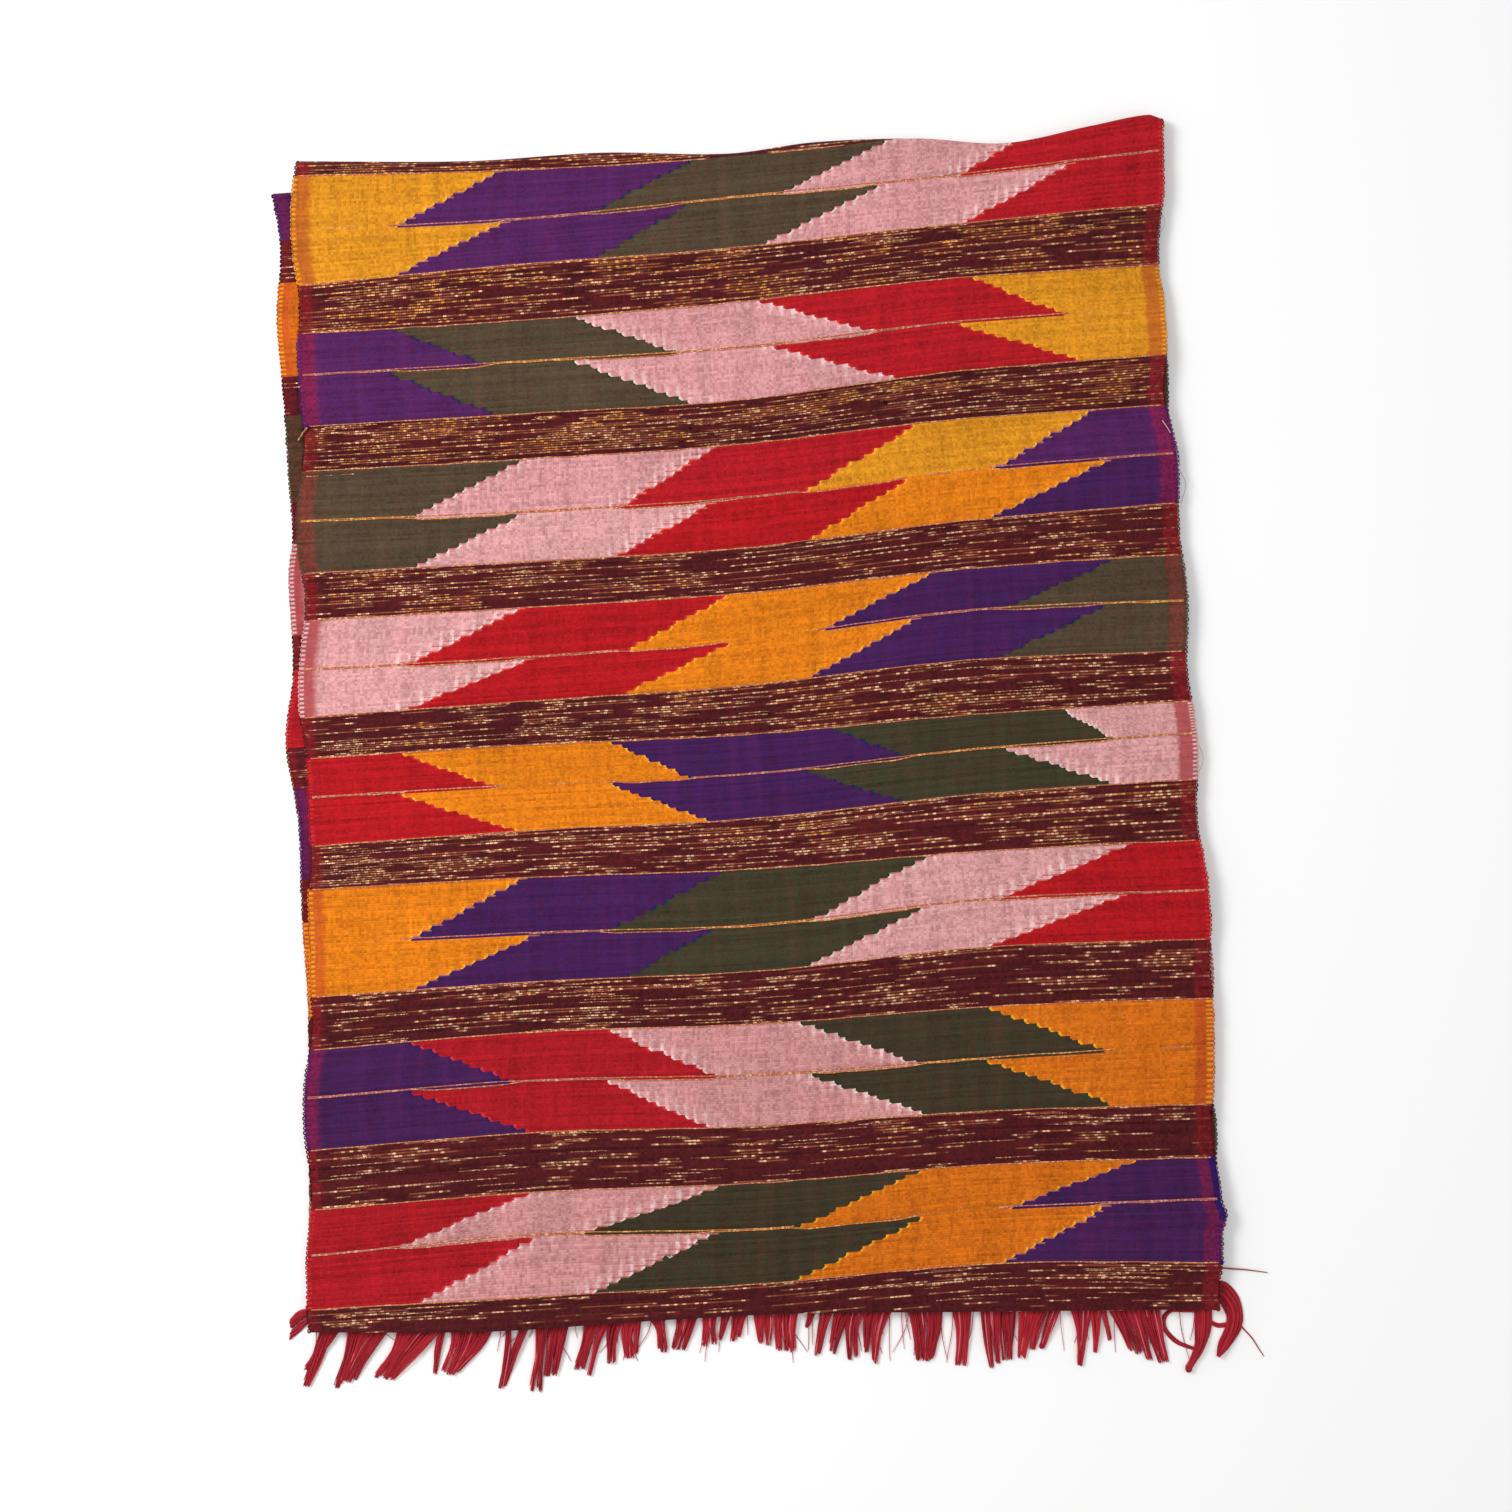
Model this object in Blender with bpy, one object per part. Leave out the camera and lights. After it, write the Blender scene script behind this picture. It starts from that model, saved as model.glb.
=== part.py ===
"""Half shawl, hand woven, folded in four and laid flat with its fringe at the near end.

The cloth is one long strip. It is folded end to end, then folded again, so four layers lie on each
other: the front panel, two hidden layers joined by the inner fold, and the back panel. The outer
fold at the far end joins the front and back panels, and the near fold turns the front panel under.
Both cut ends of the strip lie at the near end, where their warp threads hang out as a fringe.

Lengths here are in millimetres and are turned into metres when a mesh is made. X runs across the
cloth from the left selvedge to the right one, Y runs along it towards the far fold, Z is up, and
the origin is in the middle of the folded shawl, on the surface that it lies on.
"""
import math

import bpy

MILLIMETRE = 0.001

# Thickness of the cloth, the gap between pieces, and the levels of the layers above the surface.
CLOTH = 1.2
GAP = 0.3
HIDDEN_BOTTOM = CLOTH + GAP
HIDDEN_TOP = HIDDEN_BOTTOM + 2 * CLOTH + GAP
FRONT_MIDDLE = HIDDEN_TOP + GAP + CLOTH / 2

# The far fold stands a little prouder than the flat cloth, and settles over this distance.
FAR_FOLD_PUFF = 1.2
FAR_FOLD_SETTLES = 22.0
FAR_FOLD_RADIUS = (FRONT_MIDDLE + FAR_FOLD_PUFF - CLOTH / 2) / 2
FAR_FOLD_OUTER = FAR_FOLD_RADIUS + CLOTH / 2

# The near fold turns the front panel down onto the upper hidden layer, and ends in a short flap.
NEAR_FOLD_RADIUS = (CLOTH + GAP) / 2
NEAR_FOLD_OUTER = NEAR_FOLD_RADIUS + CLOTH / 2
NEAR_FLAP = 6.0

# A woven row is a coloured band and then a brown band; the coloured band takes this share of it.
COLOURED_SHARE = 0.69
NEAR_FOLD_ROW = 9

# Weft lines of the front panel, from the far fold to the near one. "row" counts rows from the far
# end. The heights Y are taken at the left selvedge, at the three quarter points and at the right.
WEFT_LINES = (
    # row, left x, y left, y quarter, y middle, y three quarters, y right, right x
    (0 + COLOURED_SHARE, -213.0, 287, 290, 297, 309, 324, 195.5),
    (1, -214.5, 265.8, 268.6, 275.1, 287.0, 303.0, 196.0),
    (1 + COLOURED_SHARE, -211.4, 212.6, 222.9, 230.9, 242.3, 252.1, 195.5),
    (2, -210.8, 189.4, 195.6, 204.4, 216.0, 222.8, 193.6),
    (2 + COLOURED_SHARE, -207.5, 144.7, 150.9, 157.3, 171.0, 179.1, 196.1),
    (3, -207.3, 123.3, 129.1, 136.1, 148.0, 155.1, 195.1),
    (3 + COLOURED_SHARE, -206.1, 75.0, 80.6, 87.0, 99.8, 108.6, 200.6),
    (4, -204.5, 52.9, 59.1, 65.9, 77.2, 84.2, 201.9),
    (4 + COLOURED_SHARE, -205.8, 7.6, 15.1, 22.7, 34.3, 38.8, 202.5),
    (5, -202.3, -11.3, -4.9, 0.0, 9.1, 15.5, 204.7),
    (5 + COLOURED_SHARE, -199.4, -51.7, -44.3, -38.8, -27.7, -20.6, 206.4),
    (6, -199.7, -71.5, -65.8, -62.0, -54.0, -48.7, 206.7),
    (6 + COLOURED_SHARE, -197.8, -120.3, -113.2, -108.3, -97.6, -93.9, 210.9),
    (7, -197.9, -144.1, -135.9, -132.2, -124.5, -120.6, 211.3),
    (7 + COLOURED_SHARE, -198.2, -189.1, -181.0, -178.0, -171.4, -168.2, 210.2),
    (8, -195.9, -215.4, -207.4, -203.2, -195.2, -191.8, 210.8),
    (8 + COLOURED_SHARE, -196.7, -259.3, -253.5, -247.7, -239.0, -238.3, 213.0),
    (NEAR_FOLD_ROW, -196.3, -281, -275, -269, -261, -260, 211.2),
)

# How far each coloured band swells out past the straight line between its brown neighbours.
BAND_SWELL = (
    # row, left, right
    (1, 2.0, 1.3),
    (2, 1.0, 1.0),
    (3, 2.6, 2.4),
    (4, 1.4, 1.3),
    (5, 0.3, 1.0),
    (6, 0.3, 1.5),
    (7, 2.0, 0.6),
    (8, 1.0, 2.0),
)

# The two fold lines of the front panel, by the share of the way across from the left selvedge.
FOLD_LINES = (
    # share, far fold y, near fold y
    (0.00, 273.4, -269.4),
    (0.20, 274.3, -269.0),
    (0.35, 278.4, -265.0),
    (0.50, 278.0, -261.6),
    (0.60, 283.6, -260.8),
    (0.72, 285.4, -260.4),
    (0.82, 283.2, -260.0),
    (0.92, 290.6, -259.6),
    (1.00, 295.8, -259.2),
)

# Soft swells of the front panel, each a low rounded rise.
SWELLS = (
    # share across, row, half width as a share, half length in rows, height
    (0.05, 1.35, 0.22, 0.50, 1.5),
    (0.62, 1.40, 0.30, 0.48, 1.1),
    (0.92, 1.55, 0.16, 0.55, 1.6),
    (0.30, 2.30, 0.26, 0.46, 1.2),
    (0.97, 2.75, 0.15, 0.50, 1.3),
    (0.04, 3.35, 0.18, 0.52, 1.8),
    (0.55, 3.40, 0.32, 0.45, 1.0),
    (0.88, 4.20, 0.22, 0.50, 1.2),
    (0.20, 4.45, 0.28, 0.50, 1.3),
    (0.62, 5.30, 0.34, 0.46, 1.2),
    (0.05, 5.80, 0.16, 0.55, 1.4),
    (0.95, 6.25, 0.18, 0.55, 1.7),
    (0.35, 6.40, 0.30, 0.46, 1.0),
    (0.75, 7.35, 0.30, 0.50, 1.4),
    (0.03, 7.45, 0.18, 0.50, 1.7),
    (0.45, 8.35, 0.34, 0.45, 1.2),
    (0.96, 8.40, 0.16, 0.50, 1.5),
)

# Lengthwise creases left by storing the shawl folded: low ridges along the whole panel.
LONG_CREASES = (
    # share across, half width as a share, height
    (0.245, 0.030, 0.5),
    (0.505, 0.040, 0.9),
    (0.760, 0.030, 0.6),
)

# Left selvedge of the hidden layers, which shows past the front panel along most of its length.
HIDDEN_LEFT = (
    # y, x
    (256, -223.5), (232, -220.2), (197, -221.2), (160, -217.2), (121, -214.0), (92, -211.2),
    (75, -212.8), (28, -209.6), (-3, -212.3), (-39, -205.7), (-83, -203.0), (-128, -199.0),
    (-190, -197.0), (-265, -196.5),
)
HIDDEN_FAR_LEFT_Y = 256.6
HIDDEN_FAR_RISE = 30.0
HIDDEN_RIGHT_INSET = 1.2

# Edge profile of the two hidden layers: two rounded selvedges with a groove between them.
LAYERED_EDGE = (
    # inset, share of the height
    (0.35, 0.04), (0.0, 0.21), (0.35, 0.42), (1.3, 0.50), (0.35, 0.58), (0.0, 0.79), (0.35, 0.96),
)
EDGE_DEPTH = 2.0

# Sections that round the inner fold, by how far each lies behind its tip, as shares of its radius.
INNER_FOLD_SECTIONS = (0.02, 0.12, 0.38, 0.75)

# Selvedges of the back panel, which lies on the surface.
BACK_EDGES = (
    # y, left x, right x
    (292, -214.0, 196.8),
    (200, -214.5, 191.8),
    (100, -209.8, 196.4),
    (0, -207.0, 201.8),
    (-100, -200.4, 206.8),
    (-190, -197.8, 209.2),
    (-270, -195.8, 210.0),
)

# Reach of the fringe: where a tassel leaves the hem, and where its tip lies.
FRINGE_REACH = (
    # root x, tip x, tip y
    (-196, -208, -271),
    (-190, -198, -293),
    (-160, -166, -290),
    (-130, -138, -290),
    (-95, -101, -296),
    (-70, -75, -288),
    (-40, -41, -281),
    (-5, -6, -276),
    (30, 30, -281),
    (58, 58, -285),
    (96, 96, -285),
    (124, 124, -282),
    (150, 150, -285),
    (182, 186, -286),
    (200, 208, -283),
    (210, 223, -265),
)
FRINGE_ROOT_TOP = HIDDEN_BOTTOM + CLOTH
FRINGE_TIP_TOP = 1.4

# Numbers of steps that the meshes are made in. All pieces bend at the knots of the fold lines, so
# that their ends stay parallel.
KNOTS = [line[0] for line in FOLD_LINES]
FRONT_STEPS_PER_KNOT = 3
FRONT_ALONG = 48
FOLD_STEPS = 7
HIDDEN_ALONG = 24
BACK_ALONG = 16


def along_table(table, key, column):
    """Value of one column of a table at a key, straight between the rows of the table."""
    rows = sorted(table)
    if key <= rows[0][0]:
        return rows[0][column]
    for before, after in zip(rows, rows[1:]):
        if key <= after[0]:
            share = (key - before[0]) / (after[0] - before[0])
            return before[column] + share * (after[column] - before[column])
    return rows[-1][column]


def across_stations(values, share):
    """Smooth curve through values at equal stations from the left selvedge to the right one."""
    place = min(max(share, 0.0), 1.0) * (len(values) - 1)
    k = min(int(place), len(values) - 2)
    f = place - k
    a, b = values[k], values[k + 1]
    before = values[k - 1] if k > 0 else 2 * a - b
    after = values[k + 2] if k + 2 < len(values) else 2 * b - a
    bend = 2 * before - 5 * a + 4 * b - after + f * (3 * (a - b) + after - before)
    return a + 0.5 * f * (b - before + f * bend)


def weft_heights(share):
    """Height Y of every weft line at a share of the way across."""
    return [across_stations(line[2:7], share) for line in WEFT_LINES]


def row_at(share, y):
    """Row number of the cloth at a height Y, from the weft lines on either side of it."""
    heights = weft_heights(share)
    for k in range(len(heights) - 1):
        if y >= heights[k + 1] or k == len(heights) - 2:
            part = (heights[k] - y) / (heights[k] - heights[k + 1])
            return WEFT_LINES[k][0] + part * (WEFT_LINES[k + 1][0] - WEFT_LINES[k][0])


def selvedge_x(row, side):
    """X of the left (side 0) or right (side 1) selvedge, with the swell of the coloured band."""
    edge = along_table(WEFT_LINES, row, 7 if side else 1)
    band = int(row)
    inside = (row - band) / COLOURED_SHARE
    swell = next((line[1 + side] for line in BAND_SWELL if line[0] == band), 0.0)
    if inside < 1.0:
        edge += (1 if side else -1) * swell * 4 * inside * (1 - inside)
    return edge


def bump(distance):
    """Rounded rise that is 1 in the middle and 0 from a distance of 1."""
    return 0.5 + 0.5 * math.cos(math.pi * distance) if distance < 1.0 else 0.0


def front_rise(share, row):
    """Height of the swells and long creases above the level of the front panel."""
    rise = 0.0
    for middle, middle_row, half_width, half_length, height in SWELLS:
        rise += height * bump(math.hypot((share - middle) / half_width, (row - middle_row) / half_length))
    for middle, half_width, height in LONG_CREASES:
        rise += height * bump(abs(share - middle) / half_width)
    return rise


def shares_across(steps_per_knot):
    """Shares of the way across at which a piece has its points."""
    shares = [0.0]
    for before, after in zip(KNOTS, KNOTS[1:]):
        for step in range(1, steps_per_knot + 1):
            shares.append(before + (after - before) * step / steps_per_knot)
    return shares


def far_fold_y(share):
    return along_table(FOLD_LINES, share, 1)


def near_fold_y(share):
    return along_table(FOLD_LINES, share, 2)


def front_column(share):
    """Middle line of the front panel at a share across: points (x, y, z) with normals in Y and Z.

    It starts under the far fold, goes round it, along the top and round the near fold, and ends in
    the flap under the near fold.
    """
    points = []
    far_y = far_fold_y(share) - FAR_FOLD_OUTER
    near_y = near_fold_y(share) + NEAR_FOLD_OUTER
    far_row = row_at(share, far_y)
    near_row = row_at(share, near_y)

    def x_at(row):
        return selvedge_x(row, 0) + share * (selvedge_x(row, 1) - selvedge_x(row, 0))

    far_centre_z = CLOTH / 2 + FAR_FOLD_RADIUS
    for step in range(FOLD_STEPS):
        angle = -math.pi / 2 + math.pi * step / FOLD_STEPS
        y = far_y + FAR_FOLD_RADIUS * math.cos(angle)
        z = far_centre_z + FAR_FOLD_RADIUS * math.sin(angle)
        points.append((x_at(far_row), y, z, math.cos(angle), math.sin(angle)))

    flat = []
    for step in range(FRONT_ALONG + 1):
        y = far_y + (near_y - far_y) * step / FRONT_ALONG
        row = row_at(share, y)
        from_far = (far_y - y) / FAR_FOLD_SETTLES
        from_near = (y - near_y) / FAR_FOLD_SETTLES
        ends = min(1.0, from_far, from_near)
        z = FRONT_MIDDLE + FAR_FOLD_PUFF * bump(from_far) + front_rise(share, row) * (1 - bump(ends))
        flat.append((x_at(row), y, z))
    for step, (x, y, z) in enumerate(flat):
        before = flat[max(step - 1, 0)]
        after = flat[min(step + 1, FRONT_ALONG)]
        slope = (after[2] - before[2]) / (after[1] - before[1])
        length = math.hypot(1.0, slope)
        points.append((x, y, z, -slope / length, 1.0 / length))

    near_centre_z = FRONT_MIDDLE - NEAR_FOLD_RADIUS
    for step in range(1, FOLD_STEPS + 1):
        angle = math.pi / 2 + math.pi * step / FOLD_STEPS
        y = near_y + NEAR_FOLD_RADIUS * math.cos(angle)
        z = near_centre_z + NEAR_FOLD_RADIUS * math.sin(angle)
        points.append((x_at(near_row), y, z, math.cos(angle), math.sin(angle)))
    flap_y = near_fold_y(share) + NEAR_FLAP - GAP
    points.append((x_at(near_row), flap_y, near_centre_z - NEAR_FOLD_RADIUS, 0.0, -1.0))
    return points


def make_object(name, vertices, faces, colour, roughness):
    """Make one object of a closed mesh, with its points in millimetres and its own material."""
    mesh = bpy.data.meshes.new(name)
    mesh.from_pydata([[value * MILLIMETRE for value in point] for point in vertices], [], faces)
    mesh.validate()
    mesh.shade_smooth()
    mesh.set_sharp_from_angle(angle=math.radians(50))
    piece = bpy.data.objects.new(name, mesh)
    bpy.context.scene.collection.objects.link(piece)
    material = bpy.data.materials.new(name)
    material.use_nodes = True
    shader = material.node_tree.nodes["Principled BSDF"]
    shader.inputs["Base Color"].default_value = (*colour, 1.0)
    shader.inputs["Roughness"].default_value = roughness
    shader.inputs["Metallic"].default_value = 0.0
    mesh.materials.append(material)
    return piece


def wall_between(upper, lower):
    """Vertices and faces of a closed wall between two grids of points, grid[along][across]."""
    rows, columns = len(upper), len(upper[0])
    vertices = [point for line in upper for point in line] + [point for line in lower for point in line]

    def top(j, i):
        return j * columns + i

    def under(j, i):
        return rows * columns + top(j, i)

    faces = []
    for j in range(rows - 1):
        for i in range(columns - 1):
            faces.append((top(j, i), top(j + 1, i), top(j + 1, i + 1), top(j, i + 1)))
            faces.append((under(j, i), under(j, i + 1), under(j + 1, i + 1), under(j + 1, i)))
        last = columns - 1
        faces.append((top(j, 0), under(j, 0), under(j + 1, 0), top(j + 1, 0)))
        faces.append((top(j, last), top(j + 1, last), under(j + 1, last), under(j, last)))
    for i in range(columns - 1):
        last = rows - 1
        faces.append((top(0, i), top(0, i + 1), under(0, i + 1), under(0, i)))
        faces.append((top(last, i), under(last, i), under(last, i + 1), top(last, i + 1)))
    return vertices, faces


def make_front_panel():
    """The front panel, with the far fold and the near fold that it turns into."""
    columns = [front_column(share) for share in shares_across(FRONT_STEPS_PER_KNOT)]
    outer, inner = [], []
    for j in range(len(columns[0])):
        outer_line, inner_line = [], []
        for column in columns:
            x, y, z, normal_y, normal_z = column[j]
            outer_line.append((x, y + normal_y * CLOTH / 2, z + normal_z * CLOTH / 2))
            inner_line.append((x, y - normal_y * CLOTH / 2, z - normal_z * CLOTH / 2))
        outer.append(outer_line)
        inner.append(inner_line)
    vertices, faces = wall_between(outer, inner)
    make_object("front_panel", vertices, faces, (0.42, 0.09, 0.05), 0.85)


def hidden_far_y(share):
    """Far end of the hidden layers: their fold climbs to the right, just inside the far fold."""
    return HIDDEN_FAR_LEFT_Y + HIDDEN_FAR_RISE * share


def hidden_loop(row_share, height_share):
    """One closed section across the two hidden layers, squeezed to a share of their height."""
    middle_z = (HIDDEN_BOTTOM + HIDDEN_TOP) / 2
    full = HIDDEN_TOP - HIDDEN_BOTTOM

    def place(share, inset, level):
        far_y, near_y = hidden_far_y(share), near_fold_y(share) + NEAR_FLAP
        y = far_y + (near_y - far_y) * row_share
        left = along_table(HIDDEN_LEFT, y, 1)
        right = selvedge_x(row_at(1.0, y), 1) - HIDDEN_RIGHT_INSET
        x = left + inset + share * (right - left - 2 * inset)
        return (x, y, middle_z + (level - 0.5) * full * height_share)

    shares = shares_across(1)
    loop = [place(share, EDGE_DEPTH, 0.0) for share in shares]
    loop += [place(1.0, inset, level) for inset, level in LAYERED_EDGE]
    loop += [place(share, EDGE_DEPTH, 1.0) for share in reversed(shares)]
    loop += [place(0.0, inset, level) for inset, level in reversed(LAYERED_EDGE)]
    return loop


def cap_faces(start, flip):
    """Faces that close one end of the hidden layers, whose loop of vertices begins at start."""
    columns = len(shares_across(1))
    bottom = [start + i for i in range(columns)]
    edge = len(LAYERED_EDGE)
    right = [bottom[-1] + 1 + k for k in range(edge)]
    top = [right[-1] + 1 + i for i in range(columns)][::-1]
    left = [top[0] + 1 + k for k in range(edge)]
    faces = [(bottom[i], bottom[i + 1], top[i + 1], top[i]) for i in range(columns - 1)]
    faces.append(tuple([bottom[-1]] + right + [top[-1]]))
    faces.append(tuple([top[0]] + left + [bottom[0]]))
    return [face[::-1] for face in faces] if flip else faces


def make_hidden_layers():
    """The two inner layers as one solid: round at their fold, grooved along their selvedges."""
    radius = (HIDDEN_TOP - HIDDEN_BOTTOM) / 2
    length = HIDDEN_FAR_LEFT_Y - near_fold_y(0.0) - NEAR_FLAP
    sections = []
    for inset in INNER_FOLD_SECTIONS:
        round_share = math.sqrt(1 - (1 - inset) ** 2)
        sections.append((inset * radius / length, round_share))
    start = radius / length
    for step in range(HIDDEN_ALONG + 1):
        sections.append((start + (1 - start) * step / HIDDEN_ALONG, 1.0))
    loops = [hidden_loop(row_share, height_share) for row_share, height_share in sections]
    count = len(loops[0])
    vertices = [point for loop in loops for point in loop]
    faces = []
    for j in range(len(loops) - 1):
        for k in range(count):
            a, b = j * count + k, j * count + (k + 1) % count
            faces.append((a, b, b + count, a + count))
    faces += cap_faces(0, True)
    faces += cap_faces((len(loops) - 1) * count, False)
    make_object("hidden_layers", vertices, faces, (0.16, 0.03, 0.16), 0.85)


def make_back_panel():
    """The back panel: a flat wall on the surface, from the far fold to the hem of the cut end."""
    upper, lower = [], []
    for j in range(BACK_ALONG + 1):
        upper_line, lower_line = [], []
        for share in shares_across(1):
            far_y = far_fold_y(share) - FAR_FOLD_OUTER - GAP
            near_y = near_fold_y(share) + NEAR_FLAP
            y = far_y + (near_y - far_y) * j / BACK_ALONG
            left, right = along_table(BACK_EDGES, y, 1), along_table(BACK_EDGES, y, 2)
            x = left + share * (right - left)
            upper_line.append((x, y, CLOTH))
            lower_line.append((x, y, 0.0))
        upper.append(upper_line)
        lower.append(lower_line)
    vertices, faces = wall_between(upper, lower)
    make_object("back_panel", vertices, faces, (0.30, 0.05, 0.06), 0.85)


def make_fringe():
    """Reach of the warp fringe of both cut ends, as one thin wedge that lies on the surface."""
    hem_left = selvedge_x(NEAR_FOLD_ROW, 0)
    hem_width = selvedge_x(NEAR_FOLD_ROW, 1) - hem_left
    roots = [line[0] for line in FRINGE_REACH]
    roots += [hem_left + share * hem_width for share in KNOTS]
    upper, lower = [], []
    for root_x in sorted(root for root in roots if roots[0] <= root <= FRINGE_REACH[-1][0]):
        tip_x = along_table(FRINGE_REACH, root_x, 1)
        tip_y = along_table(FRINGE_REACH, root_x, 2)
        fold_y = near_fold_y((root_x - hem_left) / hem_width)
        root_y = fold_y + NEAR_FLAP - GAP
        fold_x = root_x + (tip_x - root_x) * (root_y - fold_y) / (root_y - tip_y)
        upper.append([
            (tip_x, tip_y, FRINGE_TIP_TOP),
            (fold_x, fold_y, FRINGE_ROOT_TOP),
            (root_x, root_y, FRINGE_ROOT_TOP),
        ])
        lower.append([(x, y, 0.0) for x, y, z in upper[-1]])
    vertices, faces = wall_between(upper, lower)
    make_object("fringe", vertices, faces, (0.45, 0.01, 0.03), 0.8)


for old in list(bpy.data.objects):
    bpy.data.objects.remove(old)

make_front_panel()
make_hidden_layers()
make_back_panel()
make_fringe()
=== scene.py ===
import bisect
import functools
import math
import random

import bpy
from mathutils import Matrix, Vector, noise


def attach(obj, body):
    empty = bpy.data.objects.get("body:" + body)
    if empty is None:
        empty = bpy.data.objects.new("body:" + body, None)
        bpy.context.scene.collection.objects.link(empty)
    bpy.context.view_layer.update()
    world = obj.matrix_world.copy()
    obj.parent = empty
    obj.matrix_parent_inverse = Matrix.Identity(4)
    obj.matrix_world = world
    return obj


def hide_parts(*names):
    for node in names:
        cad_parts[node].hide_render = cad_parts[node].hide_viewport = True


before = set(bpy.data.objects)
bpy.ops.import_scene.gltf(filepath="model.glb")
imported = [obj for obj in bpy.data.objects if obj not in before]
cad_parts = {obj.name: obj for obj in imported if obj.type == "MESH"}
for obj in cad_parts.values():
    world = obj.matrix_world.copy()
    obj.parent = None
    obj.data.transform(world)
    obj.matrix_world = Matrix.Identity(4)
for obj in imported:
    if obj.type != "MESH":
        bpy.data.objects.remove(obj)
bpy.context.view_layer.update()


# Front panel
# The uppermost quarter of the one strip that the shawl is: hand-woven, weft-faced cotton with stepped
# bands of five colours between brown bands. It is turned down over the outer fold at its far end, and
# under at the near fold. Sizes are in millimetres.
MM = 0.001
CLOTH_WIDTH = 408.0
ROW_LENGTH = 68.7
COLOURED_SHARE = 0.69
MID_SHARE = 0.345
WALL = 1.0
SOLID_WALL = 1.2
GAP = 0.3
FRONT_MIDDLE = 5.1
FAR_FOLD_PUFF = 1.2
FOLD_SETTLES = 22.0
FAR_FOLD_RADIUS = (FRONT_MIDDLE + FAR_FOLD_PUFF - SOLID_WALL / 2) / 2
NEAR_FOLD_RADIUS = (SOLID_WALL + GAP) / 2
NEAR_FLAP = 6.0

WEFT_LINES = (
    # row, left x, y at left, quarter, middle, three quarters and right, right x
    (0 + COLOURED_SHARE, -213.0, 287, 290, 297, 309, 324, 195.5),
    (1, -214.5, 265.8, 268.6, 275.1, 287.0, 303.0, 196.0),
    (1 + COLOURED_SHARE, -211.4, 212.6, 222.9, 230.9, 242.3, 252.1, 195.5),
    (2, -210.8, 189.4, 195.6, 204.4, 216.0, 222.8, 193.6),
    (2 + COLOURED_SHARE, -207.5, 144.7, 150.9, 157.3, 171.0, 179.1, 196.1),
    (3, -207.3, 123.3, 129.1, 136.1, 148.0, 155.1, 195.1),
    (3 + COLOURED_SHARE, -206.1, 75.0, 80.6, 87.0, 99.8, 108.6, 200.6),
    (4, -204.5, 52.9, 59.1, 65.9, 77.2, 84.2, 201.9),
    (4 + COLOURED_SHARE, -205.8, 7.6, 15.1, 22.7, 34.3, 38.8, 202.5),
    (5, -202.3, -11.3, -4.9, 0.0, 9.1, 15.5, 204.7),
    (5 + COLOURED_SHARE, -199.4, -51.7, -44.3, -38.8, -27.7, -20.6, 206.4),
    (6, -199.7, -71.5, -65.8, -62.0, -54.0, -48.7, 206.7),
    (6 + COLOURED_SHARE, -197.8, -120.3, -113.2, -108.3, -97.6, -93.9, 210.9),
    (7, -197.9, -144.1, -135.9, -132.2, -124.5, -120.6, 211.3),
    (7 + COLOURED_SHARE, -198.2, -189.1, -181.0, -178.0, -171.4, -168.2, 210.2),
    (8, -195.9, -215.4, -207.4, -203.2, -195.2, -191.8, 210.8),
    (8 + COLOURED_SHARE, -196.7, -259.3, -253.5, -247.7, -239.0, -238.3, 213.0),
    (9, -196.3, -281, -275, -269, -261, -260, 211.2),
)

# Where each coloured band has its mid line, as a share of a row, at the same five stations.
MID_LINES = {
    1: (0.345, 0.360, 0.310, 0.325, 0.330),
    2: (0.310, 0.310, 0.320, 0.325, 0.325),
    3: (0.345, 0.355, 0.360, 0.350, 0.335),
    4: (0.350, 0.370, 0.345, 0.315, 0.330),
    5: (0.305, 0.320, 0.325, 0.300, 0.280),
    6: (0.350, 0.370, 0.380, 0.345, 0.350),
    7: (0.330, 0.335, 0.345, 0.340, 0.300),
    8: (0.320, 0.280, 0.315, 0.305, 0.270),
}

# How far each coloured band swells out past its brown neighbours, by row: at the left and right.
BAND_SWELL = {
    1: (2.0, 1.3), 2: (1.0, 1.0), 3: (2.6, 2.4), 4: (1.4, 1.3),
    5: (0.3, 1.0), 6: (0.3, 1.5), 7: (2.0, 0.6), 8: (1.0, 0.9),
}
# One slack lump at the right selvedge: its row, half length in rows and how far it stands out.
SLACK_LUMP = (8.44, 0.085, 2.4)

FOLD_LINES = (
    # share across, far fold y, near fold y
    (0.00, 274.2, -269.4), (0.20, 274.3, -269.0), (0.35, 278.4, -265.0), (0.50, 278.0, -261.6),
    (0.60, 283.6, -260.8), (0.72, 285.4, -260.4), (0.82, 283.2, -260.0), (0.92, 291.8, -259.6),
    (0.985, 297.2, -259.3), (1.00, 295.0, -259.9),
)

# Soft swells of the cloth, each a low rounded rise.
SWELLS = (
    # share across, row, half width as a share, half length in rows, height
    (0.05, 1.35, 0.22, 0.50, 1.5), (0.62, 1.40, 0.30, 0.48, 1.1), (0.92, 1.55, 0.16, 0.55, 1.6),
    (0.30, 2.30, 0.26, 0.46, 1.2), (0.97, 2.75, 0.15, 0.50, 1.3), (0.04, 3.35, 0.18, 0.52, 1.8),
    (0.55, 3.40, 0.32, 0.45, 1.0), (0.88, 4.20, 0.22, 0.50, 1.2), (0.20, 4.45, 0.28, 0.50, 1.3),
    (0.62, 5.30, 0.34, 0.46, 1.2), (0.05, 5.80, 0.16, 0.55, 1.4), (0.95, 6.25, 0.18, 0.55, 1.7),
    (0.35, 6.40, 0.30, 0.46, 1.0), (0.75, 7.35, 0.30, 0.50, 1.4), (0.03, 7.45, 0.18, 0.50, 1.7),
    (0.45, 8.35, 0.34, 0.45, 1.2), (0.96, 8.40, 0.16, 0.50, 1.5),
)

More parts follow.
